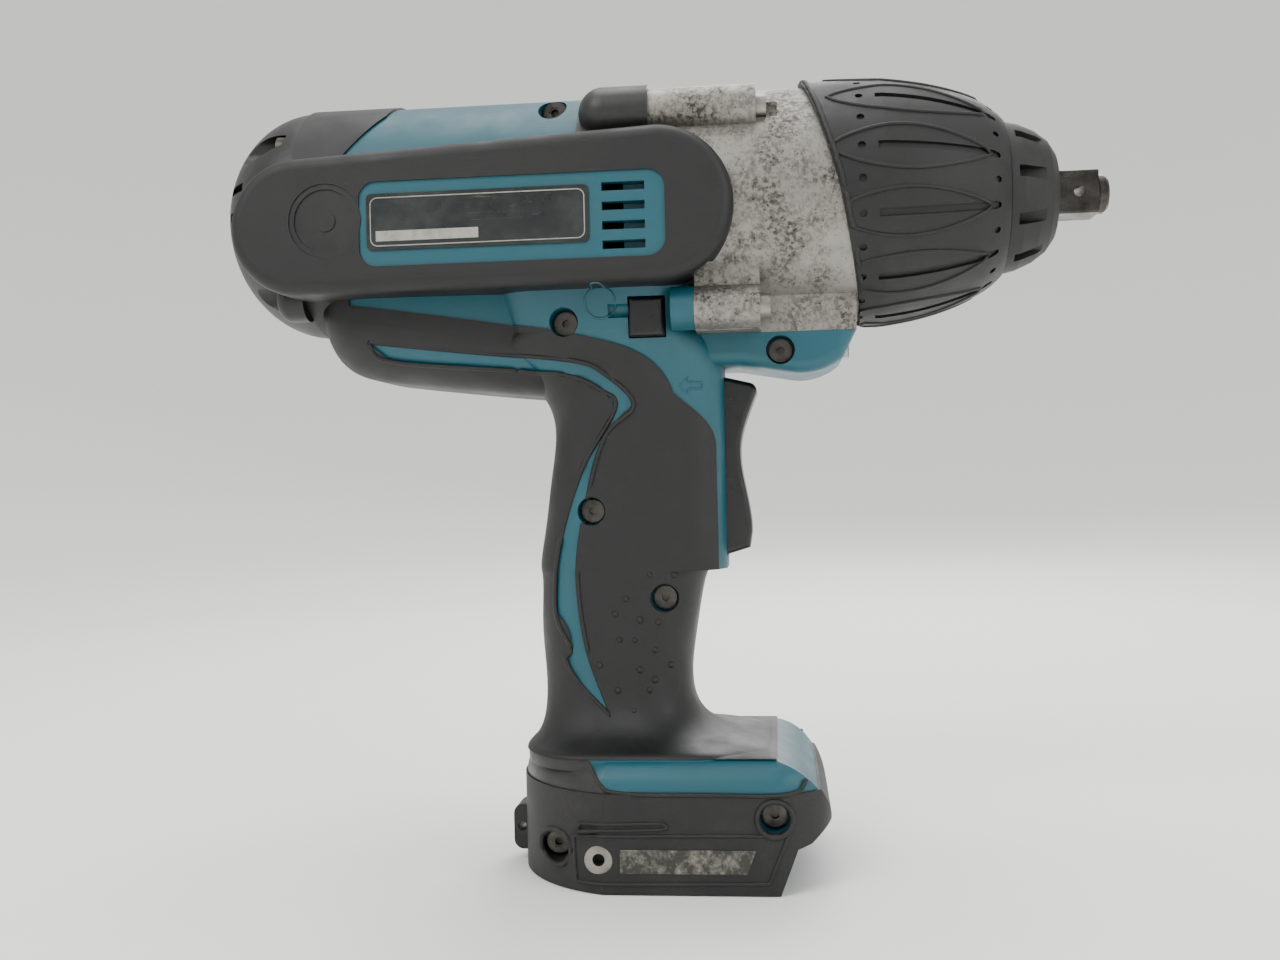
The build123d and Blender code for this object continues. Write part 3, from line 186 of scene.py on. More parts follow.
nylon_teal = moulding("nylon_teal_spark_textured", "#0A4E5B", "#1E4A50", 0.55, 0.44, 0.7, 0.05, 0.3)
elastomer_black = moulding("elastomer_black_overmoulded", "#070808", "#2B2C27", 0.22, 0.56, 0.8, 0.06, 0.2)
elastomer_worn = moulding("elastomer_worn_grey", "#0B0C0C", "#3E3D36", 0.40, 0.62, 1.0, 0.08, 0.3, 22.0)
nylon_black = moulding("nylon_black_spark_textured", "#0A0B0B", "#33322E", 0.26, 0.46, 0.7, 0.06, 0.2)
nylon_trigger = moulding("nylon_black_polished_by_use", "#080909", "#242420", 0.2, 0.34, 0.6, 0.03, 0.2)
nylon_inner = moulding("nylon_grey_unpainted", "#26282A", "#5A5A58", 0.12, 0.5, 0.8, 0.04, 0.1)
laminate_board = moulding("paper_laminate_brown", "#5A4326", "#8A7A5E", 0.15, 0.5, 0.6, 0.03, 0.1)
carbon_pressed = moulding("carbon_pressed_block", "#1B1B1C", "#3E3D3B", 0.2, 0.55, 0.5, 0.05, 0.1)
lead_skin = moulding("pvc_red_lead_skin", "#6E1512", "#8C5A55", 0.1, 0.4, 0.8, 0.02, 0.1)
print("mouldings:", 9)

# %% [markdown]
# ## Raw cast aluminium
# The hammer case is left as it came out of the die, so it has an orange-peel skin, dark specks where dirt
# sits in the pores, and broad stains from handling. A mirror-smooth metal would look wrong. Two noises at
# different sizes make the skin and the stains, and a Voronoi texture makes the pores.

# %% Cast aluminium
cast_aluminium, tree, shader, place = start("aluminium_die_cast_raw")
stain = node(tree, "ShaderNodeTexNoise", Vector=place, Scale=1000 / 15.0, Detail=9.0, Roughness=0.72)
skin = node(tree, "ShaderNodeTexNoise", Vector=place, Scale=1000 / 1.3, Detail=4.0, Roughness=0.65)
pores = node(tree, "ShaderNodeTexVoronoi", Vector=place, Scale=1000 / 1.7, Randomness=1.0)
dirty = node(tree, "ShaderNodeMapRange", s0=stain.outputs[0], s1=0.42, s2=0.62, s3=0.05, s4=0.95)
speckle = node(tree, "ShaderNodeMapRange", s0=skin.outputs[0], s1=0.42, s2=0.56, s3=0.0, s4=1.0)
both = node(tree, "ShaderNodeMath", {"operation": "MULTIPLY"}, s0=dirty.outputs[0], s1=speckle.outputs[0])
pitted = node(tree, "ShaderNodeMapRange", s0=pores.outputs[0], s1=0.1, s2=0.22, s3=0.5, s4=0.0)
grime = node(
    tree, "ShaderNodeMath", {"operation": "ADD", "use_clamp": True}, s0=both.outputs[0],
    s1=pitted.outputs[0],
)
tone = node(
    tree, "ShaderNodeMix", {"data_type": "RGBA"}, s0=stain.outputs[0], s6=linear("#A9A7A0"),
    s7=linear("#6C6961"),
)
colour = node(
    tree, "ShaderNodeMix", {"data_type": "RGBA"}, s0=grime.outputs[0], s6=tone.outputs[2],
    s7=linear("#1E1C17"),
)
metal = node(tree, "ShaderNodeMapRange", s0=grime.outputs[0], s1=0.0, s2=1.0, s3=0.9, s4=0.15)
rough = node(tree, "ShaderNodeMapRange", s0=stain.outputs[0], s1=0.3, s2=0.7, s3=0.36, s4=0.6)
peel = node(tree, "ShaderNodeBump", Strength=0.7, Distance=0.16 * mm, Height=skin.outputs[0])
holes = node(
    tree, "ShaderNodeBump", {"invert": True}, Strength=0.5, Distance=0.15 * mm, Height=grime.outputs[0],
    Normal=peel.outputs[0],
)
for socket, output in (("Base Color", colour.outputs[2]), ("Metallic", metal.outputs[0]),
                       ("Roughness", rough.outputs[0]), ("Normal", holes.outputs[0])):
    tree.links.new(output, shader.inputs[socket])
print("cast aluminium: pores about 1.7 mm apart, stains about 15 mm")

# %% [markdown]
# ## Machined and plated metals
# Shafts, gears and screws are turned, ground or plated. What tells them apart is the colour, how sharp
# the reflection is, and how much oil or black oxide is on them, so one recipe takes those as its sizes.
# The machining lines run round the spindle, so the noise is squeezed along X to make fine rings.

# %% Recipe for worked metal
def worked_metal(name, base, soil, soiled, rough, lines=0.5, depth=0.02, metallic=1.0):
    """A machined or plated metal. lines is the spacing of the tool marks in mm, depth their height."""
    material, tree, shader, place = start(name)
    squeezed = node(tree, "ShaderNodeMapping", Vector=place, Scale=(1000 / lines, 90.0, 90.0))
    marks = node(tree, "ShaderNodeTexNoise", Vector=squeezed.outputs[0], Scale=1.0, Detail=3.0)
    cloud = node(tree, "ShaderNodeTexNoise", Vector=place, Scale=1000 / 7.0, Detail=6.0, Roughness=0.68)
    film = node(tree, "ShaderNodeMapRange", s0=cloud.outputs[0], s1=0.42, s2=0.68, s3=0.0, s4=soiled)
    colour = node(
        tree, "ShaderNodeMix", {"data_type": "RGBA"}, s0=film.outputs[0], s6=linear(base),
        s7=linear(soil),
    )
    blur = node(
        tree, "ShaderNodeMapRange", s0=cloud.outputs[0], s1=0.3, s2=0.7, s3=rough - 0.08, s4=rough + 0.16,
    )
    ridges = node(tree, "ShaderNodeBump", Strength=0.5, Distance=depth * mm, Height=marks.outputs[0])
    shader.inputs["Metallic"].default_value = metallic
    for socket, output in (
        ("Base Color", colour.outputs[2]), ("Roughness", blur.outputs[0]), ("Normal", ridges.outputs[0]),
    ):
        tree.links.new(output, shader.inputs[socket])
    return material


steel_ground = worked_metal("steel_ground_oiled", "#8E8D8A", "#3A342B", 0.35, 0.3)
steel_gear = worked_metal("steel_hardened_greased", "#6D6A65", "#2C2419", 0.6, 0.38)
steel_anvil = worked_metal("steel_anvil_worn_bright", "#4A4845", "#15130F", 0.75, 0.28, 0.7, 0.04)
steel_screw = worked_metal("steel_zinc_plated_dull", "#55534F", "#211E19", 0.6, 0.42)
steel_case_screw = worked_metal("steel_zinc_plated_bright", "#9B9890", "#4A453B", 0.5, 0.38)
steel_spring = worked_metal("steel_spring_drawn", "#5C5B59", "#2A2621", 0.4, 0.32)
iron_ferrite = worked_metal("ferrite_sintered_magnet", "#2D2D2F", "#4B4A48", 0.4, 0.6, 0.6, 0.04, 0.2)
steel_sheets = worked_metal("steel_stacked_sheets", "#5B5B5C", "#2E2A24", 0.4, 0.42, 0.5, 0.12)
copper_wire = worked_metal("copper_enamelled_wire", "#A4532A", "#5A2A17", 0.5, 0.3, 0.7, 0.15)
brass_pressed = worked_metal("brass_pressed_sheet", "#B08B48", "#6B4F26", 0.4, 0.34)
bronze_bush = worked_metal("bronze_sintered_oiled", "#8C6236", "#3C2814", 0.5, 0.44)
print("worked metals:", 11)

# %% [markdown]
# ## Lens, name plate film and the worn pad
# The work light sits behind clear polycarbonate. The name plate is a printed film with a slight gloss.
# The pad on the foot's side is the same elastomer as the guard, but scuffed almost white on its raised
# grain, so it mixes two colours by the height of a coarse grain.

# %% Lens, film and pad
lens_clear, tree, shader, place = start("polycarbonate_clear_lens")
shader.inputs["Base Color"].default_value = linear("#DDE6EA")
shader.inputs["Transmission Weight"].default_value = 0.85
shader.inputs["IOR"].default_value = 1.585
haze = node(tree, "ShaderNodeTexNoise", Vector=place, Scale=1000 / 3.0, Detail=4.0)
misty = node(tree, "ShaderNodeMapRange", s0=haze.outputs[0], s1=0.3, s2=0.7, s3=0.12, s4=0.3)
tree.links.new(misty.outputs[0], shader.inputs["Roughness"])

film_dark = moulding("polyester_film_dark_printed", "#0D1414", "#3E4542", 0.35, 0.34, 0.5, 0.01, 0.5, 9.0)
film_light = moulding("polyester_film_light_printed", "#9A9A92", "#45423A", 0.6, 0.4, 0.5, 0.01, 0.5, 5.0)
pad_scuffed = moulding("elastomer_scuffed_pale", "#2C2C26", "#86857A", 0.95, 0.66, 0.9, 0.25, 0.3, 2.5)
print("special finishes:", 4)

# %% [markdown]
# ## Where rubber wraps the teal shell
# On the real tool the elastomer also covers the rear corner of the foot and the two lugs behind the upper
# case screws. It is thin there, so it changes the colour and not the shape. A mask worked out from the
# position in the piece's own coordinates paints it exactly where it belongs, which is simpler than
# cutting the shell in two.

# %% Paint the wrapped corners
def math_node(tree, operation, first, second=0.0):
    """The output of one Math node."""
    return node(tree, "ShaderNodeMath", {"operation": operation}, s0=first, s1=second).outputs[0]


tree = nylon_teal.node_tree
shader = next(n for n in tree.nodes if n.type == "BSDF_PRINCIPLED")
place = next(n for n in tree.nodes if n.type == "TEX_COORD").outputs["Object"]
split = node(tree, "ShaderNodeSeparateXYZ", Vector=place)
x, y, z = split.outputs
lug_y = math_node(tree, "SUBTRACT", math_node(tree, "ABSOLUTE", y), 26.5 * mm)
lug_z = math_node(tree, "SUBTRACT", z, axis_z + 24.0 * mm)
lug_far = math_node(
    tree, "ADD", math_node(tree, "MULTIPLY", lug_y, lug_y), math_node(tree, "MULTIPLY", lug_z, lug_z),
)
on_lug = math_node(tree, "LESS_THAN", lug_far, (8.6 * mm) ** 2)
behind = math_node(tree, "GREATER_THAN", x, -21.0 * mm)
lug = math_node(tree, "MULTIPLY", on_lug, behind)
lug = math_node(tree, "MULTIPLY", lug, math_node(tree, "LESS_THAN", x, 4.0 * mm))
slope = math_node(tree, "MULTIPLY", z, 0.75)
edge = math_node(tree, "ADD", x, slope)
at_rear = math_node(tree, "LESS_THAN", edge, (-20.6 + 35.9 * 0.75) * mm)
low_down = math_node(tree, "LESS_THAN", z, 43.0 * mm)
wrapped = math_node(tree, "MAXIMUM", lug, math_node(tree, "MULTIPLY", at_rear, low_down))
old_colour = shader.inputs["Base Color"].links[0].from_socket
wear = node(tree, "ShaderNodeTexNoise", Vector=place, Scale=1000 / 2.2, Detail=5.0)
rubber = node(
    tree, "ShaderNodeMix", {"data_type": "RGBA"}, s0=wear.outputs[0], s6=linear("#070808"),
    s7=linear("#262722"),
)
painted = node(
    tree, "ShaderNodeMix", {"data_type": "RGBA"}, s0=wrapped, s6=old_colour, s7=rubber.outputs[2],
)
tree.links.new(painted.outputs[2], shader.inputs["Base Color"])
print("wrapped corners: 2 lugs and the foot's rear")

# %% [markdown]
# ## Give every CAD piece its finish
# The CAD pieces carry flat colours. A table of piece to material is the plainest way to dress them: it
# can be read against a parts list, and a missing piece is caught by comparing the two.

# %% Dress the CAD pieces
finish = {
    nylon_teal: ["housing_right", "housing_left"],
    elastomer_black: [
        "motor_ring_right", "motor_ring_left", "grip_rubber_right", "grip_rubber_left", "bumper",
    ],
    elastomer_worn: ["foot_guard_right", "foot_guard_left", "nose_ring", "friction_o_ring"],
    nylon_black: ["rear_cover", "brush_caps", "strap_lug", "terminal_block"],
    nylon_trigger: ["trigger", "reversing_lever"], nylon_inner: ["gear_case", "motor_fan", "switch_body"],
    laminate_board: ["brush_plate", "light_board"], carbon_pressed: ["carbon_brushes"],
    lead_skin: ["battery_leads", "motor_leads"], cast_aluminium: ["hammer_case"],
    steel_ground: [
        "armature_shaft", "rear_bearing", "front_bearing", "spindle_bearing", "cam_balls", "planet_pins",
    ],
    steel_gear: [
        "ring_gear", "planet_gear_1", "planet_gear_2", "planet_gear_3", "spindle", "hammer",
        "anvil_washer",
    ],
    steel_anvil: ["anvil", "friction_ring"], steel_screw: ["cover_screws", "housing_screws"],
    steel_case_screw: ["case_screws", "hook_inserts", "motor_yoke"],
    steel_spring: ["brush_springs", "trigger_spring", "hammer_spring", "spring_washer"],
    iron_ferrite: ["magnets"], steel_sheets: ["armature_core"],
    copper_wire: ["armature_windings", "commutator"], brass_pressed: ["brush_holders", "terminal_blades"],
    bronze_bush: ["front_bush"], film_dark: ["name_plates"], lens_clear: ["light_lens"],
}
for material, names in finish.items():
    for name in names:
        nodes[name].data.materials.clear()
        nodes[name].data.materials.append(material)
dressed = {name for names in finish.values() for name in names}
print("pieces without a finish:", sorted(set(nodes) - dressed))

# %% [markdown]
# ## Finding a point on the tool's side
# Raised lines, nubs and rims follow a curved shell. Their places are known as seen from the side, so a
# ray is sent in from the side and the shell answers where it is and which way it faces. A tree of the
# shell's triangles makes each answer quick. Screw recesses are skipped by taking the middle of nearby
# answers.

# %% Side finder
corners, triangles = [], []
for name in ("housing_right", "grip_rubber_right", "foot_guard_right", "motor_ring_right"):
    first = len(corners)
    corners += [v.co.copy() for v in nodes[name].data.vertices]
    triangles += [[first + i for i in face.vertices] for face in nodes[name].data.polygons]
shell = BVHTree.FromPolygons(corners, triangles)


def on_side(x, z, lift=0.0):
    """(place, facing) on the right side at a side-view point in mm, lifted by lift mm, or None."""
    hit, facing, _, _ = shell.ray_cast(Vector((x * mm, -0.08, z * mm)), Vector((0, 1, 0)))
    if hit is None:
        return None
    if facing.y > 0:
        facing = -facing
    return hit + facing * lift * mm, facing


def smooth_line(points, spacing=0.8):
    """Side-view points, joined by a curve through them and spaced evenly, in mm."""
    points = np.array(points, float)
    padded = np.vstack([2 * points[0] - points[1], points, 2 * points[-1] - points[-2]])
    out = []
    for a, b, c, d in zip(padded, padded[1:], padded[2:], padded[3:]):
        count = max(2, int(np.linalg.norm(c - b) / spacing))
        t = np.linspace(0, 1, count, endpoint=False)[:, None]
        square, cube = 2 * a - 5 * b + 4 * c - d, 3 * b - a - 3 * c + d
        out.append(0.5 * ((2 * b) + (c - a) * t + square * t ** 2 + cube * t ** 3))
    return np.vstack(out + [points[-1:]])


def side_path(points, bridged=True):
    """Places along a side-view line, as an array. A long line bridges the recesses it crosses."""
    found = [on_side(x, z) for x, z in points]
    places = np.array([p[0] for p in found if p is not None])
    if not bridged:
        return places
    depth = places[:, 1].copy()
    for i in range(len(depth)):
        near = depth[max(0, i - 7):i + 8]
        if abs(depth[i] - np.median(near)) > 0.6 * mm:
            places[i, 1] = np.median(near)
    return places


print("shell triangles:", len(triangles))

# %% [markdown]
# ## Geometry nodes that make a bead along a line
# Moulds leave raised beads where the black rubber meets the teal plastic, and the foot has thin raised
# frames. A bead is one section pushed along a line, which is what the Curve to Mesh node does, so the
# line is the only thing given as points and the radius stays a named size.

# %% Bead tree and the baking step
bead = bpy.data.node_groups.new("bead_along_a_line", "GeometryNodeTree")
for label, kind in (
    ("Line", "NodeSocketGeometry"), ("Bead radius", "NodeSocketFloat"), ("Finish", "NodeSocketMaterial"),
):
    bead.interface.new_socket(label, in_out="INPUT", socket_type=kind)
bead.interface.new_socket("Geometry", in_out="OUTPUT", socket_type="NodeSocketGeometry")
given = node(bead, "NodeGroupInput")
line = node(bead, "GeometryNodeMeshToCurve", Mesh=given.outputs["Line"])
section = node(bead, "GeometryNodeCurvePrimitiveCircle", Resolution=8, Radius=given.outputs["Bead radius"])
solid = node(bead, "GeometryNodeCurveToMesh", Curve=line.outputs[0], s1=section.outputs[0], Fill_Caps=True)
smooth = node(bead, "GeometryNodeSetShadeSmooth", s0=solid.outputs[0])
real = node(bead, "GeometryNodeRealizeInstances", s0=smooth.outputs[0])
painted = node(bead, "GeometryNodeSetMaterial", Geometry=real.outputs[0], Material=given.outputs["Finish"])
node(bead, "NodeGroupOutput", s0=painted.outputs[0])


def wire(lines, closed=False):
    """An unlinked mesh of edges that runs through each list of places."""
    places, edges = [], []
    for places_in_line in lines:
        first, count = len(places), len(places_in_line)
        places += [tuple(p) for p in places_in_line]
        edges += [(first + i, first + i + 1) for i in range(count - 1)]
        if closed:
            edges.append((first + count - 1, first))
    mesh = bpy.data.meshes.new("line")
    mesh.from_pydata(places, edges, [])
    return mesh


def bake(name, mesh, tree, sizes, body):
    """Runs a geometry nodes tree on a mesh, keeps the result as a plain piece, and lets it ride a body."""
    source = bpy.data.objects.new("source", mesh)
    bpy.context.scene.collection.objects.link(source)
    modifier = source.modifiers.new("nodes", "NODES")
    modifier.node_group = tree
    for item in tree.interface.items_tree:
        if item.name in sizes:
            modifier[item.identifier] = sizes[item.name]
    bpy.context.view_layer.update()
    seen = source.evaluated_get(bpy.context.evaluated_depsgraph_get())
    piece = bpy.data.objects.new(name, bpy.data.meshes.new_from_object(seen))
    source.modifiers.remove(modifier)
    bpy.data.objects.remove(source)
    bpy.context.scene.collection.objects.link(piece)
    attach(piece, body)
    print(name, "faces:", len(piece.data.polygons))
    return piece


def mirrored(lines):
    """The same lines on both sides of the tool."""
    flip = np.array([1, -1, 1])
    return list(lines) + [np.array(line) * flip for line in lines]


# %% [markdown]
# ## Beads round the stripe on the handle
# A teal stripe runs along the underside of the motor, turns down the handle and ends in a point. The
# rubber round it is moulded with a raised lip. The lip is drawn as two beads, above and below the stripe,
# each following the shell.

# %% Stripe beads
drop = axis_z / mm
upper_bead = smooth_line(
    [
        (-84.5, drop - 39.3), (-54.2, drop - 43.0), (-24.7, drop - 46.3), (-14.8, drop - 50.6),
        (-7.0, drop - 59.6), (-15.5, drop - 68.1), (-20.9, drop - 84.2), (-25.0, drop - 107.8),
        (-22.6, drop - 131.5), (-15.4, drop - 151.5),
    ],
)
lower_bead = smooth_line(
    [
        (-84.5, drop - 39.3), (-78.3, drop - 45.0), (-39.9, drop - 48.9), (-25.2, drop - 50.8),
        (-16.4, drop - 55.1), (-12.6, drop - 60.3), (-23.0, drop - 78.2), (-30.4, drop - 100.3),
        (-32.4, drop - 120.2), (-27.8, drop - 131.0), (-29.4, drop - 134.5), (-25.3, drop - 141.4),
        (-15.4, drop - 151.5),
    ],
)
beads = mirrored([side_path(upper_bead), side_path(lower_bead)])
bake(
    "stripe_beads", wire(beads), bead, {"Bead radius": 0.7 * mm, "Finish": elastomer_black}, "housing",
)

# %% [markdown]
# ## Raised marks on the shell and the foot
# The shell has a ring beside the reversing lever and a small arrow that shows the turning direction. The
# foot has a raised frame on its side with a long slot above it, and a thick rim round each screw. They
# are all beads of different radius on the same tree.

# %% Raised marks
def ring(x, z, radius, count=40):
    """Side-view points round a circle, in mm."""
    turns = np.linspace(0, 2 * math.pi, count, endpoint=False)
    return [(x + radius * math.cos(t), z + radius * math.sin(t)) for t in turns]


mark_ring = side_path(ring(-15.2, 166.5, 4.4), False)
bake(
    "shell_mark_ring", wire(mirrored([mark_ring]), True), bead,
    {"Bead radius": 0.35 * mm, "Finish": nylon_teal}, "housing",
)
arrow = [(6.3, 142.6), (9.2, 145.0), (9.2, 143.5), (13.2, 143.5), (13.2, 141.7), (9.2, 141.7), (9.2, 140.2)]
arrow_line = []
for near, far in zip(arrow, arrow[1:] + arrow[:1]):
    for share in np.linspace(0, 1, 7, endpoint=False):
        arrow_line.append((near[0] + (far[0] - near[0]) * share, near[1] + (far[1] - near[1]) * share))
arrow_path = side_path(arrow_line, False)
bake(
    "turning_arrow", wire(mirrored([arrow_path]), True), bead,
    {"Bead radius": 0.28 * mm, "Finish": nylon_teal}, "housing",
)

frame_line = [
    (-25.1, 16.2), (-10, 16.3), (10, 16.5), (35.0, 16.6), (32.4, 10.0), (29.6, 3.4), (10, 3.1),
    (-10, 2.9), (-24.6, 2.8), (-25.0, 9.5),
]
dense = [
    tuple(np.array(a) + (np.array(b) - np.array(a)) * t)
    for a, b in zip(frame_line, frame_line[1:] + frame_line[:1])
    for t in np.linspace(0, 1, 12, endpoint=False)
]
slot_line = [(-23.4, 17.6), (0.4, 18.2), (1.7, 19.0), (0.4, 19.9), (-23.4, 19.3)]
dense_slot = [
    tuple(np.array(a) + (np.array(b) - np.array(a)) * t)
    for a, b in zip(slot_line, slot_line[1:] + slot_line[:1])
    for t in np.linspace(0, 1, 8, endpoint=False)
]
bake("foot_side_frames", wire(mirrored([side_path(dense), side_path(dense_slot)]), True), bead,
     {"Bead radius": 0.55 * mm, "Finish": elastomer_worn}, "housing")

rims = [side_path(ring(31.5, 21.1, 5.0)), side_path(ring(-31.2, 11.0, 5.0))]
bake(
    "foot_screw_rims", wire(rims, True), bead, {"Bead radius": 0.8 * mm, "Finish": elastomer_worn},
    "housing",
)

edge_line = smooth_line(
    [(-20.6, 36.2), (-17.1, 30.6), (-11.5, 28.2), (12.0, 27.8), (35.8, 28.0), (41.0, 32.2)],
)
bake(
    "foot_insert_lip", wire(mirrored([side_path(edge_line)])), bead,
    {"Bead radius": 0.6 * mm, "Finish": elastomer_worn}, "housing",
)

# %% [markdown]
# ## Name plate and the pad on the foot
# The name plate is a printed film with a light border and a pale strip where a number would be stamped.
# Both are left blank. The foot's pad is rough and scuffed pale. Each is a thin slab that follows the
# surface under it, made from a grid of side-view points, because a flat slab would sink into the curved
# plate.

# %% Thin slabs on the side
def tree_of(names):
    """A search tree over several CAD pieces."""
    corners, triangles = [], []
    for name in names:
        first = len(corners)
        corners += [v.co.copy() for v in nodes[name].data.vertices]
        triangles += [[first + i for i in face.vertices] for face in nodes[name].data.polygons]
    return BVHTree.FromPolygons(corners, triangles)


def side_slab(name, search, outline, lift, finish_of):
    """A slab on both sides over a four-cornered side-view outline in mm, from below the surface to lift mm."""
    a, b, c, d = [np.array(p, float) for p in outline]
    across = max(3, int(np.linalg.norm(b - a) / 0.9))
    rise = max(3, int(np.linalg.norm(d - a) / 0.9))
    grid = []
    for j in range(rise + 1):
        for i in range(across + 1):
            u, v = i / across, j / rise
            x, z = (a * (1 - u) + b * u) * (1 - v) + (d * (1 - u) + c * u) * v
            hit = search.ray_cast(Vector((x * mm, -0.08, z * mm)), Vector((0, 1, 0)))[0]
            grid.append(hit if hit is not None else grid[-1])
    depth = float(np.median([p.y for p in grid]))
    grid = [Vector((p.x, min(max(p.y, depth - 1.2 * mm), depth + 1.2 * mm), p.z)) for p in grid]
    wide, count = across + 1, len(grid)
    points, faces = [], []
    for side in (1, -1):
        first = len(points)
        points += [(p.x, (p.y - lift * mm) * side, p.z) for p in grid]
        points += [(p.x, (p.y + 0.15 * mm) * side, p.z) for p in grid]
        for j in range(rise):
            for i in range(across):
                q = [
                    first + j * wide + i, first + j * wide + i + 1, first + (j + 1) * wide + i + 1,
                    first + (j + 1) * wide + i,
                ]
                faces += [q, [k + count for k in reversed(q)]]
        ring_of = [i for i in range(wide)] + [j * wide + across for j in range(1, rise + 1)]
        ring_of += [
            rise * wide + i
            for i in range(across - 1, -1, -1)
        ] + [j * wide for j in range(rise - 1, 0, -1)]
        for k, start_at in enumerate(ring_of):
            end_at = ring_of[(k + 1) % len(ring_of)]
            faces.append(
                [first + start_at, first + start_at + count, first + end_at + count, first + end_at],
            )
    mesh = bpy.data.meshes.new(name)
    mesh.from_pydata(points, [], faces)
    clean = bmesh.new()
    clean.from_mesh(mesh)
    bmesh.ops.recalc_face_normals(clean, faces=clean.faces)
    clean.to_mesh(mesh)
    clean.free()
    mesh.materials.append(finish_of)
    piece = bpy.data.objects.new(name, mesh)
    bpy.context.scene.collection.objects.link(piece)
    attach(piece, "housing")
    print(name, "faces:", len(mesh.polygons))


def path_on(search, points, lift=0.0):
    """Places along a side-view line on the pieces in a search tree."""
    hits = [search.ray_cast(Vector((x * mm, -0.08, z * mm)), Vector((0, 1, 0)))[0] for x, z in points]
    return np.array([(h.x, h.y - lift * mm, h.z) for h in hits if h is not None])


plate_tree = tree_of(["name_plates", "housing_right"])
plate_low, plate_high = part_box("name_plates")
left, right_end = plate_low.x / mm + 1.2, plate_high.x / mm - 1.2
bottom, top = plate_low.z / mm + 1.2, plate_high.z / mm - 1.2
border = []
for cx, cz, begin in (
    (right_end - 2, top - 2, 0), (left + 2, top - 2, 90), (left + 2, bottom + 2, 180),
    (right_end - 2, bottom + 2, 270),
):
    for step in range(0, 91, 15):
        turn = math.radians(begin + step)
        border.append((cx + 2 * math.cos(turn), cz + 2 * math.sin(turn)))
border_line = [
    tuple(np.array(a) + (np.array(b) - np.array(a)) * t)
    for a, b in zip(border, border[1:] + border[:1])
    for t in np.linspace(0, 1, 4, endpoint=False)
]
bake("name_plate_border", wire(mirrored([path_on(plate_tree, border_line, 0.02)]), True), bead,
     {"Bead radius": 0.16 * mm, "Finish": film_light}, "housing")
strip = [
    (left + 1.5, bottom + 1.3), (left + 31, bottom + 1.3), (left + 31, bottom + 4.2),
    (left + 1.5, bottom + 4.2),
]
side_slab("name_plate_blank_strip", plate_tree, strip, 0.08, film_light)
guard_tree = tree_of(["foot_guard_right"])
pad = [(-11.7, 6.0), (23.6, 6.0), (26.2, 12.6), (-11.7, 12.6)]
side_slab("foot_pad", guard_tree, pad, 0.3, pad_scuffed)

# %% [markdown]
# ## Nubs on the lower grip
# Small domes stop the hand from slipping. They repeat, so a tree puts a flattened ball on each point,
# turned to the way the rubber faces there and varied a little in size, with a fixed seed so that it comes
# out the same each time.

# %% Nub tree and nubs
nub = bpy.data.node_groups.new("nubs_on_points", "GeometryNodeTree")
for label, kind in (
    ("Points", "NodeSocketGeometry"), ("Nub radius", "NodeSocketFloat"),
    ("Nub height", "NodeSocketFloat"), ("Finish", "NodeSocketMaterial"),
):
    nub.interface.new_socket(label, in_out="INPUT", socket_type=kind)
nub.interface.new_socket("Geometry", in_out="OUTPUT", socket_type="NodeSocketGeometry")
given = node(nub, "NodeGroupInput")
ball = node(nub, "GeometryNodeMeshUVSphere", Segments=16, Rings=10, Radius=1.0)
sizes = node(nub, "ShaderNodeCombineXYZ", X=given.outputs["Nub radius"], Y=given.outputs["Nub radius"],
             Z=given.outputs["Nub height"])
dome = node(nub, "GeometryNodeTransform", Geometry=ball.outputs[0], Scale=sizes.outputs[0])
facing = node(nub, "GeometryNodeInputNamedAttribute", {"data_type": "FLOAT_VECTOR"}, Name="facing")
turned = node(nub, "FunctionNodeAlignRotationToVector", {"axis": "Z"}, Vector=facing.outputs[0])
varied = node(nub, "FunctionNodeRandomValue", {"data_type": "FLOAT"}, s2=0.8, s3=1.15, Seed=7)
points = node(nub, "GeometryNodeMeshToPoints", s0=given.outputs["Points"])
placed = node(nub, "GeometryNodeInstanceOnPoints", Points=points.outputs[0], Instance=dome.outputs[0],
              Rotation=turned.outputs[0], Scale=varied.outputs[1])
real = node(nub, "GeometryNodeRealizeInstances", s0=placed.outputs[0])
smooth = node(nub, "GeometryNodeSetShadeSmooth", s0=real.outputs[0])
painted = node(nub, "GeometryNodeSetMaterial", Geometry=smooth.outputs[0], Material=given.outputs["Finish"])
node(nub, "NodeGroupOutput", s0=painted.outputs[0])

spots = [
    (3.7, 87.3), (-3.6, 87.4), (-6.9, 74.2), (-13.0, 68.4), (-8.5, 68.3), (-2.7, 65.3), (-19.1, 61.0),
    (-7.2, 59.5), (-2.9, 56.5), (-13.9, 53.6), (-4.4, 53.6), (-9.0, 47.9), (-11.0, 80.5), (-1.5, 73.5),
    (1.8, 60.5), (-14.2, 76.0),
]
nub_points, nub_facings = [], []
for x, z in spots:
    found = on_side(x, z)
    for side in (1, -1):
        nub_points.append((found[0].x, found[0].y * side, found[0].z))
        nub_facings += [found[1].x, found[1].y * side, found[1].z]
nub_mesh = bpy.data.meshes.new("nub_points")
nub_mesh.from_pydata(nub_points, [], [])
nub_mesh.attributes.new("facing", "FLOAT_VECTOR", "POINT").data.foreach_set("vector", nub_facings)
bake(
    "grip_nubs", nub_mesh, nub,
    {"Nub radius": 0.95 * mm, "Nub height": 0.6 * mm, "Finish": elastomer_worn}, "housing",
)

# %% [markdown]
# ## Screw faces
# Each housing screw sits deep in a round recess and shows a six-lobed socket. The lobes come from one
# rule: a circle whose radius swells six times on its way round. The tree fills the ring between that
# shape and the head's edge, gives it thickness, and puts one on every screw.

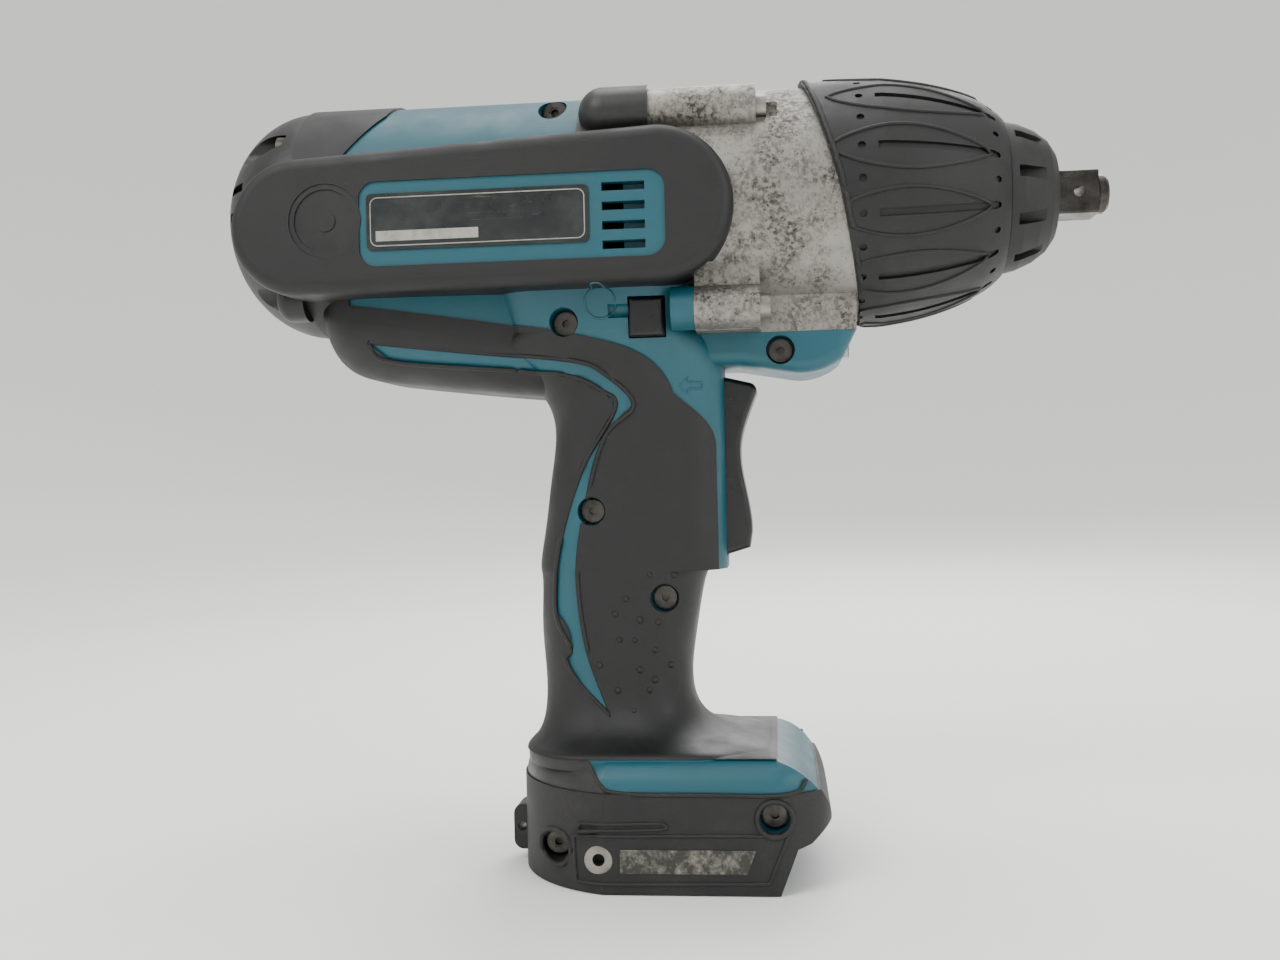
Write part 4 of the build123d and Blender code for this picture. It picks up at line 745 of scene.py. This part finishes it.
# %% Screw tree and screws
star = bpy.data.node_groups.new("six_lobed_screw_faces", "GeometryNodeTree")
for label, kind in (
    ("Points", "NodeSocketGeometry"), ("Head radius", "NodeSocketFloat"),
    ("Socket radius", "NodeSocketFloat"), ("Face thickness", "NodeSocketFloat"),
    ("Finish", "NodeSocketMaterial"),
):
    star.interface.new_socket(label, in_out="INPUT", socket_type=kind)
star.interface.new_socket("Geometry", in_out="OUTPUT", socket_type="NodeSocketGeometry")
given = node(star, "NodeGroupInput")
rim_line = node(
    star, "GeometryNodeCurvePrimitiveCircle", Resolution=36, Radius=given.outputs["Head radius"],
)
hole_line = node(
    star, "GeometryNodeCurvePrimitiveCircle", Resolution=60, Radius=given.outputs["Socket radius"],
)
along = node(star, "GeometryNodeSplineParameter")
lobes = node(star, "ShaderNodeMath", {"operation": "MULTIPLY"}, s0=along.outputs["Factor"], s1=12 * math.pi)
wave = node(star, "ShaderNodeMath", {"operation": "COSINE"}, s0=lobes.outputs[0])
swell = node(star, "ShaderNodeMath", {"operation": "MULTIPLY_ADD"}, s0=wave.outputs[0], s1=0.16, s2=1.0)
here = node(star, "GeometryNodeInputPosition")
swollen = node(
    star, "ShaderNodeVectorMath", {"operation": "SCALE"}, Vector=here.outputs[0], Scale=swell.outputs[0],
)
lobed = node(star, "GeometryNodeSetPosition", Geometry=hole_line.outputs[0], Position=swollen.outputs[0])
outline = node(star, "GeometryNodeJoinGeometry", Geometry=lobed.outputs[0])
star.links.new(rim_line.outputs[0], outline.inputs[0])
face = node(star, "GeometryNodeFillCurve", Curve=outline.outputs[0])
thick = node(star, "GeometryNodeExtrudeMesh", Mesh=face.outputs[0], Individual=False,
             Offset_Scale=given.outputs["Face thickness"])
facing = node(star, "GeometryNodeInputNamedAttribute", {"data_type": "FLOAT_VECTOR"}, Name="facing")
turned = node(star, "FunctionNodeAlignRotationToVector", {"axis": "Z"}, Vector=facing.outputs[0])
points = node(star, "GeometryNodeMeshToPoints", s0=given.outputs["Points"])
placed = node(star, "GeometryNodeInstanceOnPoints", Points=points.outputs[0], Instance=thick.outputs[0],
              Rotation=turned.outputs[0])
real = node(star, "GeometryNodeRealizeInstances", s0=placed.outputs[0])
painted = node(star, "GeometryNodeSetMaterial", Geometry=real.outputs[0], Material=given.outputs["Finish"])
node(star, "NodeGroupOutput", s0=painted.outputs[0])


def facing_points(places, facings):
    """A mesh of loose points that each know which way they face."""
    mesh = bpy.data.meshes.new("facing_points")
    mesh.from_pydata([tuple(p) for p in places], [], [])
    flat = [v for facing_way in facings for v in facing_way]
    mesh.attributes.new("facing", "FLOAT_VECTOR", "POINT").data.foreach_set("vector", flat)
    return mesh


def islands(name):
    """The separate solids of a CAD group, each as an array of its corners."""
    grid = bmesh.new()
    grid.from_mesh(nodes[name].data)
    bmesh.ops.remove_doubles(grid, verts=grid.verts, dist=1e-6)
    left, groups = set(grid.verts), []
    while left:
        queue, group = [left.pop()], []
        while queue:
            corner = queue.pop()
            group.append(corner)
            for edge in corner.link_edges:
                other = edge.other_vert(corner)
                if other in left:
                    left.remove(other)
                    queue.append(other)
        groups.append(np.array([v.co for v in group]))
    grid.free()
    return groups


def screw_faces(name, way, head, socket, material):
    """Screw faces on the far end of each solid in a group, along a direction."""
    way = np.array(way, float)
    places = []
    for solid in islands(name):
        middle = (solid.min(0) + solid.max(0)) / 2
        middle[np.abs(way) > 0.5] = (solid @ way).max() * way[np.abs(way) > 0.5]
        places.append(middle)
    mesh = facing_points(places, [way] * len(places))
    sizes = {
        "Head radius": head * mm, "Socket radius": socket * mm, "Face thickness": 0.25 * mm,
        "Finish": material,
    }
    return bake(name + "_faces", mesh, star, sizes, "housing")


screw_faces("housing_screws", (0, -1, 0), 3.3, 1.7, steel_screw)
screw_faces("cover_screws", (-1, 0, 0), 3.5, 1.8, steel_screw)
screw_faces("case_screws", (1, 0, 0), 3.5, 1.9, steel_case_screw)

# %% [markdown]
# ## Panels on the nose bumper
# The rubber sleeve over the nose is moulded with a ring of long lens-shaped panels, so that it folds over
# the case when it is pushed on. Their outlines are beads again, but they run round a cone rather than
# along a side, so a second finder sends its ray in towards the spindle axis.

# %% Ring finder and bumper beads
def on_round(search, x, turn, lift=0.0):
    """The place on a round piece at x mm and an angle about the spindle axis, lifted off by lift mm."""
    outward = Vector((0, math.cos(turn), math.sin(turn)))
    centre = Vector((x * mm, 0, axis_z))
    hit, facing, _, _ = search.ray_cast(centre + outward * 0.09, -outward, 0.08)
    if hit is None:
        return None
    return hit + outward * lift * mm


bumper_tree = tree_of(["bumper"])
bumper_low, bumper_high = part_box("bumper")
first_x, last_x = bumper_low.x / mm + 7.5, bumper_high.x / mm - 6.0
panels = []
for i in range(12):
    middle = 2 * math.pi * (i + 0.5) / 12
    along = np.linspace(0, 1, 26)
    width = 0.19 * np.sin(math.pi * along) ** 0.7
    loop = [(x, middle + w) for x, w in zip(first_x + (last_x - first_x) * along, width)]
    loop += [
        (x, middle - w)
        for x, w in zip((first_x + (last_x - first_x) * along)[::-1], width[::-1])
    ][1:-1]
    found = [on_round(bumper_tree, x, turn) for x, turn in loop]
    panels.append([p for p in found if p is not None])
bake(
    "bumper_panels", wire(panels, True), bead, {"Bead radius": 0.55 * mm, "Finish": elastomer_black},
    "housing",
)

# %% [markdown]
# ## The bumper's rear lip
# The sleeve ends in a thick lip that is knocked about in use. Its edge slants, so each point of the lip
# is found by stepping forward from the tail until the rubber is met. A fixed random wobble makes the lip
# look worn.

# %% Rear lip
wobble = np.random.default_rng(11).normal(0.0, 0.12, 160)
lip = []
for i in range(160):
    turn = 2 * math.pi * i / 160
    reached = None
    step = bumper_low.x / mm - 1.0
    while reached is None and step < last_x:
        reached = on_round(bumper_tree, step, turn)
        step += 0.25
    if reached is not None:
        lip.append(reached + Vector(((1.0 + wobble[i]) * mm, 0, 0)))
bake(
    "bumper_rear_lip", wire([lip], True), bead, {"Bead radius": 0.85 * mm, "Finish": elastomer_worn},
    "housing",
)

# %% [markdown]
# ## Springs drawn as coils
# The hammer spring and the trigger spring get shorter when the tool is used, and a stiff CAD solid can't.
# Each is drawn again as a helix on the bead tree and takes the CAD spring's place.

# %% Two springs
def spring(name, wire_radius, turns, body):
    """A helix in the place of a CAD spring that lies along X with its fixed end at the tail side."""
    low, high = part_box(name)
    middle = (low + high) / 2
    radius = (high.y - low.y) / 2 - wire_radius
    length = high.x - low.x - 2 * wire_radius
    steps = int(turns * 28)
    helix = []
    for i in range(steps + 1):
        turn = 2 * math.pi * turns * i / steps
        helix.append((low.x + wire_radius + length * i / steps, middle.y + radius * math.cos(turn),
                      middle.z + radius * math.sin(turn)))
    piece = bake(
        name + "_coil", wire([helix]), bead, {"Bead radius": wire_radius, "Finish": steel_spring}, body,
    )
    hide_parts(name)
    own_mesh(piece)


spring("hammer_spring", 1.75 * mm, 4.5, "spindle")
spring("trigger_spring", 0.5 * mm, 6.0, "housing")

# %% [markdown]
# ## Floor, light and air
# The tool is shown on a plain pale floor that curves up far away, so no edge crosses the picture. Large
# soft lights stand above and to both sides. The light from the left is the strongest, which draws the
# long highlight on the barrel; a thin one from behind lifts the top edge off the background.

# %% Floor
studio_floor, tree, shader, place = start("studio_floor_painted_board")
shader.inputs["Base Color"].default_value = linear("#F2F2F0")
paper = node(tree, "ShaderNodeTexNoise", Vector=place, Scale=900.0, Detail=2.0)
even = node(tree, "ShaderNodeMapRange", s0=paper.outputs[0], s1=0.0, s2=1.0, s3=0.72, s4=0.8)
tree.links.new(even.outputs[0], shader.inputs["Roughness"])

floor_mesh = bpy.data.meshes.new("floor")
rings = [
    (0.0, 0.0), (0.3, 0.0), (0.6, 0.0), (0.9, 0.0), (1.2, 0.03), (1.5, 0.13), (1.8, 0.33), (2.1, 0.65),
    (2.3, 1.1), (2.4, 1.7),
]
around = 64
floor_points = [(0, 0, -0.0002)]
for radius, height in rings[1:]:
    for i in range(around):
        turn = 2 * math.pi * i / around
        floor_points.append((radius * math.cos(turn), radius * math.sin(turn), height - 0.0002))
floor_faces = [(0, 1 + i, 1 + (i + 1) % around) for i in range(around)]
for r in range(len(rings) - 2):
    a, b = 1 + r * around, 1 + (r + 1) * around
    floor_faces += [(a + i, b + i, b + (i + 1) % around, a + (i + 1) % around) for i in range(around)]
floor_mesh.from_pydata(floor_points, [], floor_faces)
floor_mesh.materials.append(studio_floor)
for face in floor_mesh.polygons:
    face.use_smooth = True
floor = bpy.data.objects.new("studio_floor", floor_mesh)
bpy.context.scene.collection.objects.link(floor)
print("floor faces:", len(floor_mesh.polygons))

# %% Lights and world
def soft_light(name, place, aim, size, power):
    """A square area light that looks at a point."""
    lamp = bpy.data.lights.new(name, "AREA")
    lamp.shape, lamp.size, lamp.energy = "SQUARE", size, power
    made = bpy.data.objects.new(name, lamp)
    made.location = place
    made.rotation_euler = (Vector(aim) - Vector(place)).to_track_quat("-Z", "Y").to_euler()
    bpy.context.scene.collection.objects.link(made)
    return made


soft_light("key_light", (-0.55, -0.75, 0.95), (0, 0, 0.14), 0.6, 8)
soft_light("side_light", (0.75, -0.55, 0.55), (0, 0, 0.12), 0.5, 3)
soft_light("top_light", (0.0, 0.15, 1.2), (0, 0, 0.15), 0.8, 9)
soft_light("back_light", (0.2, 0.9, 0.7), (0, 0, 0.15), 0.6, 8)
world = bpy.data.worlds.new("studio_air")
world.use_nodes = True
sky = world.node_tree.nodes["Background"]
sky.inputs[0].default_value = (1.0, 1.0, 1.0, 1.0)
sky.inputs[1].default_value = 0.85
bpy.context.scene.world = world
print("lights:", 4)
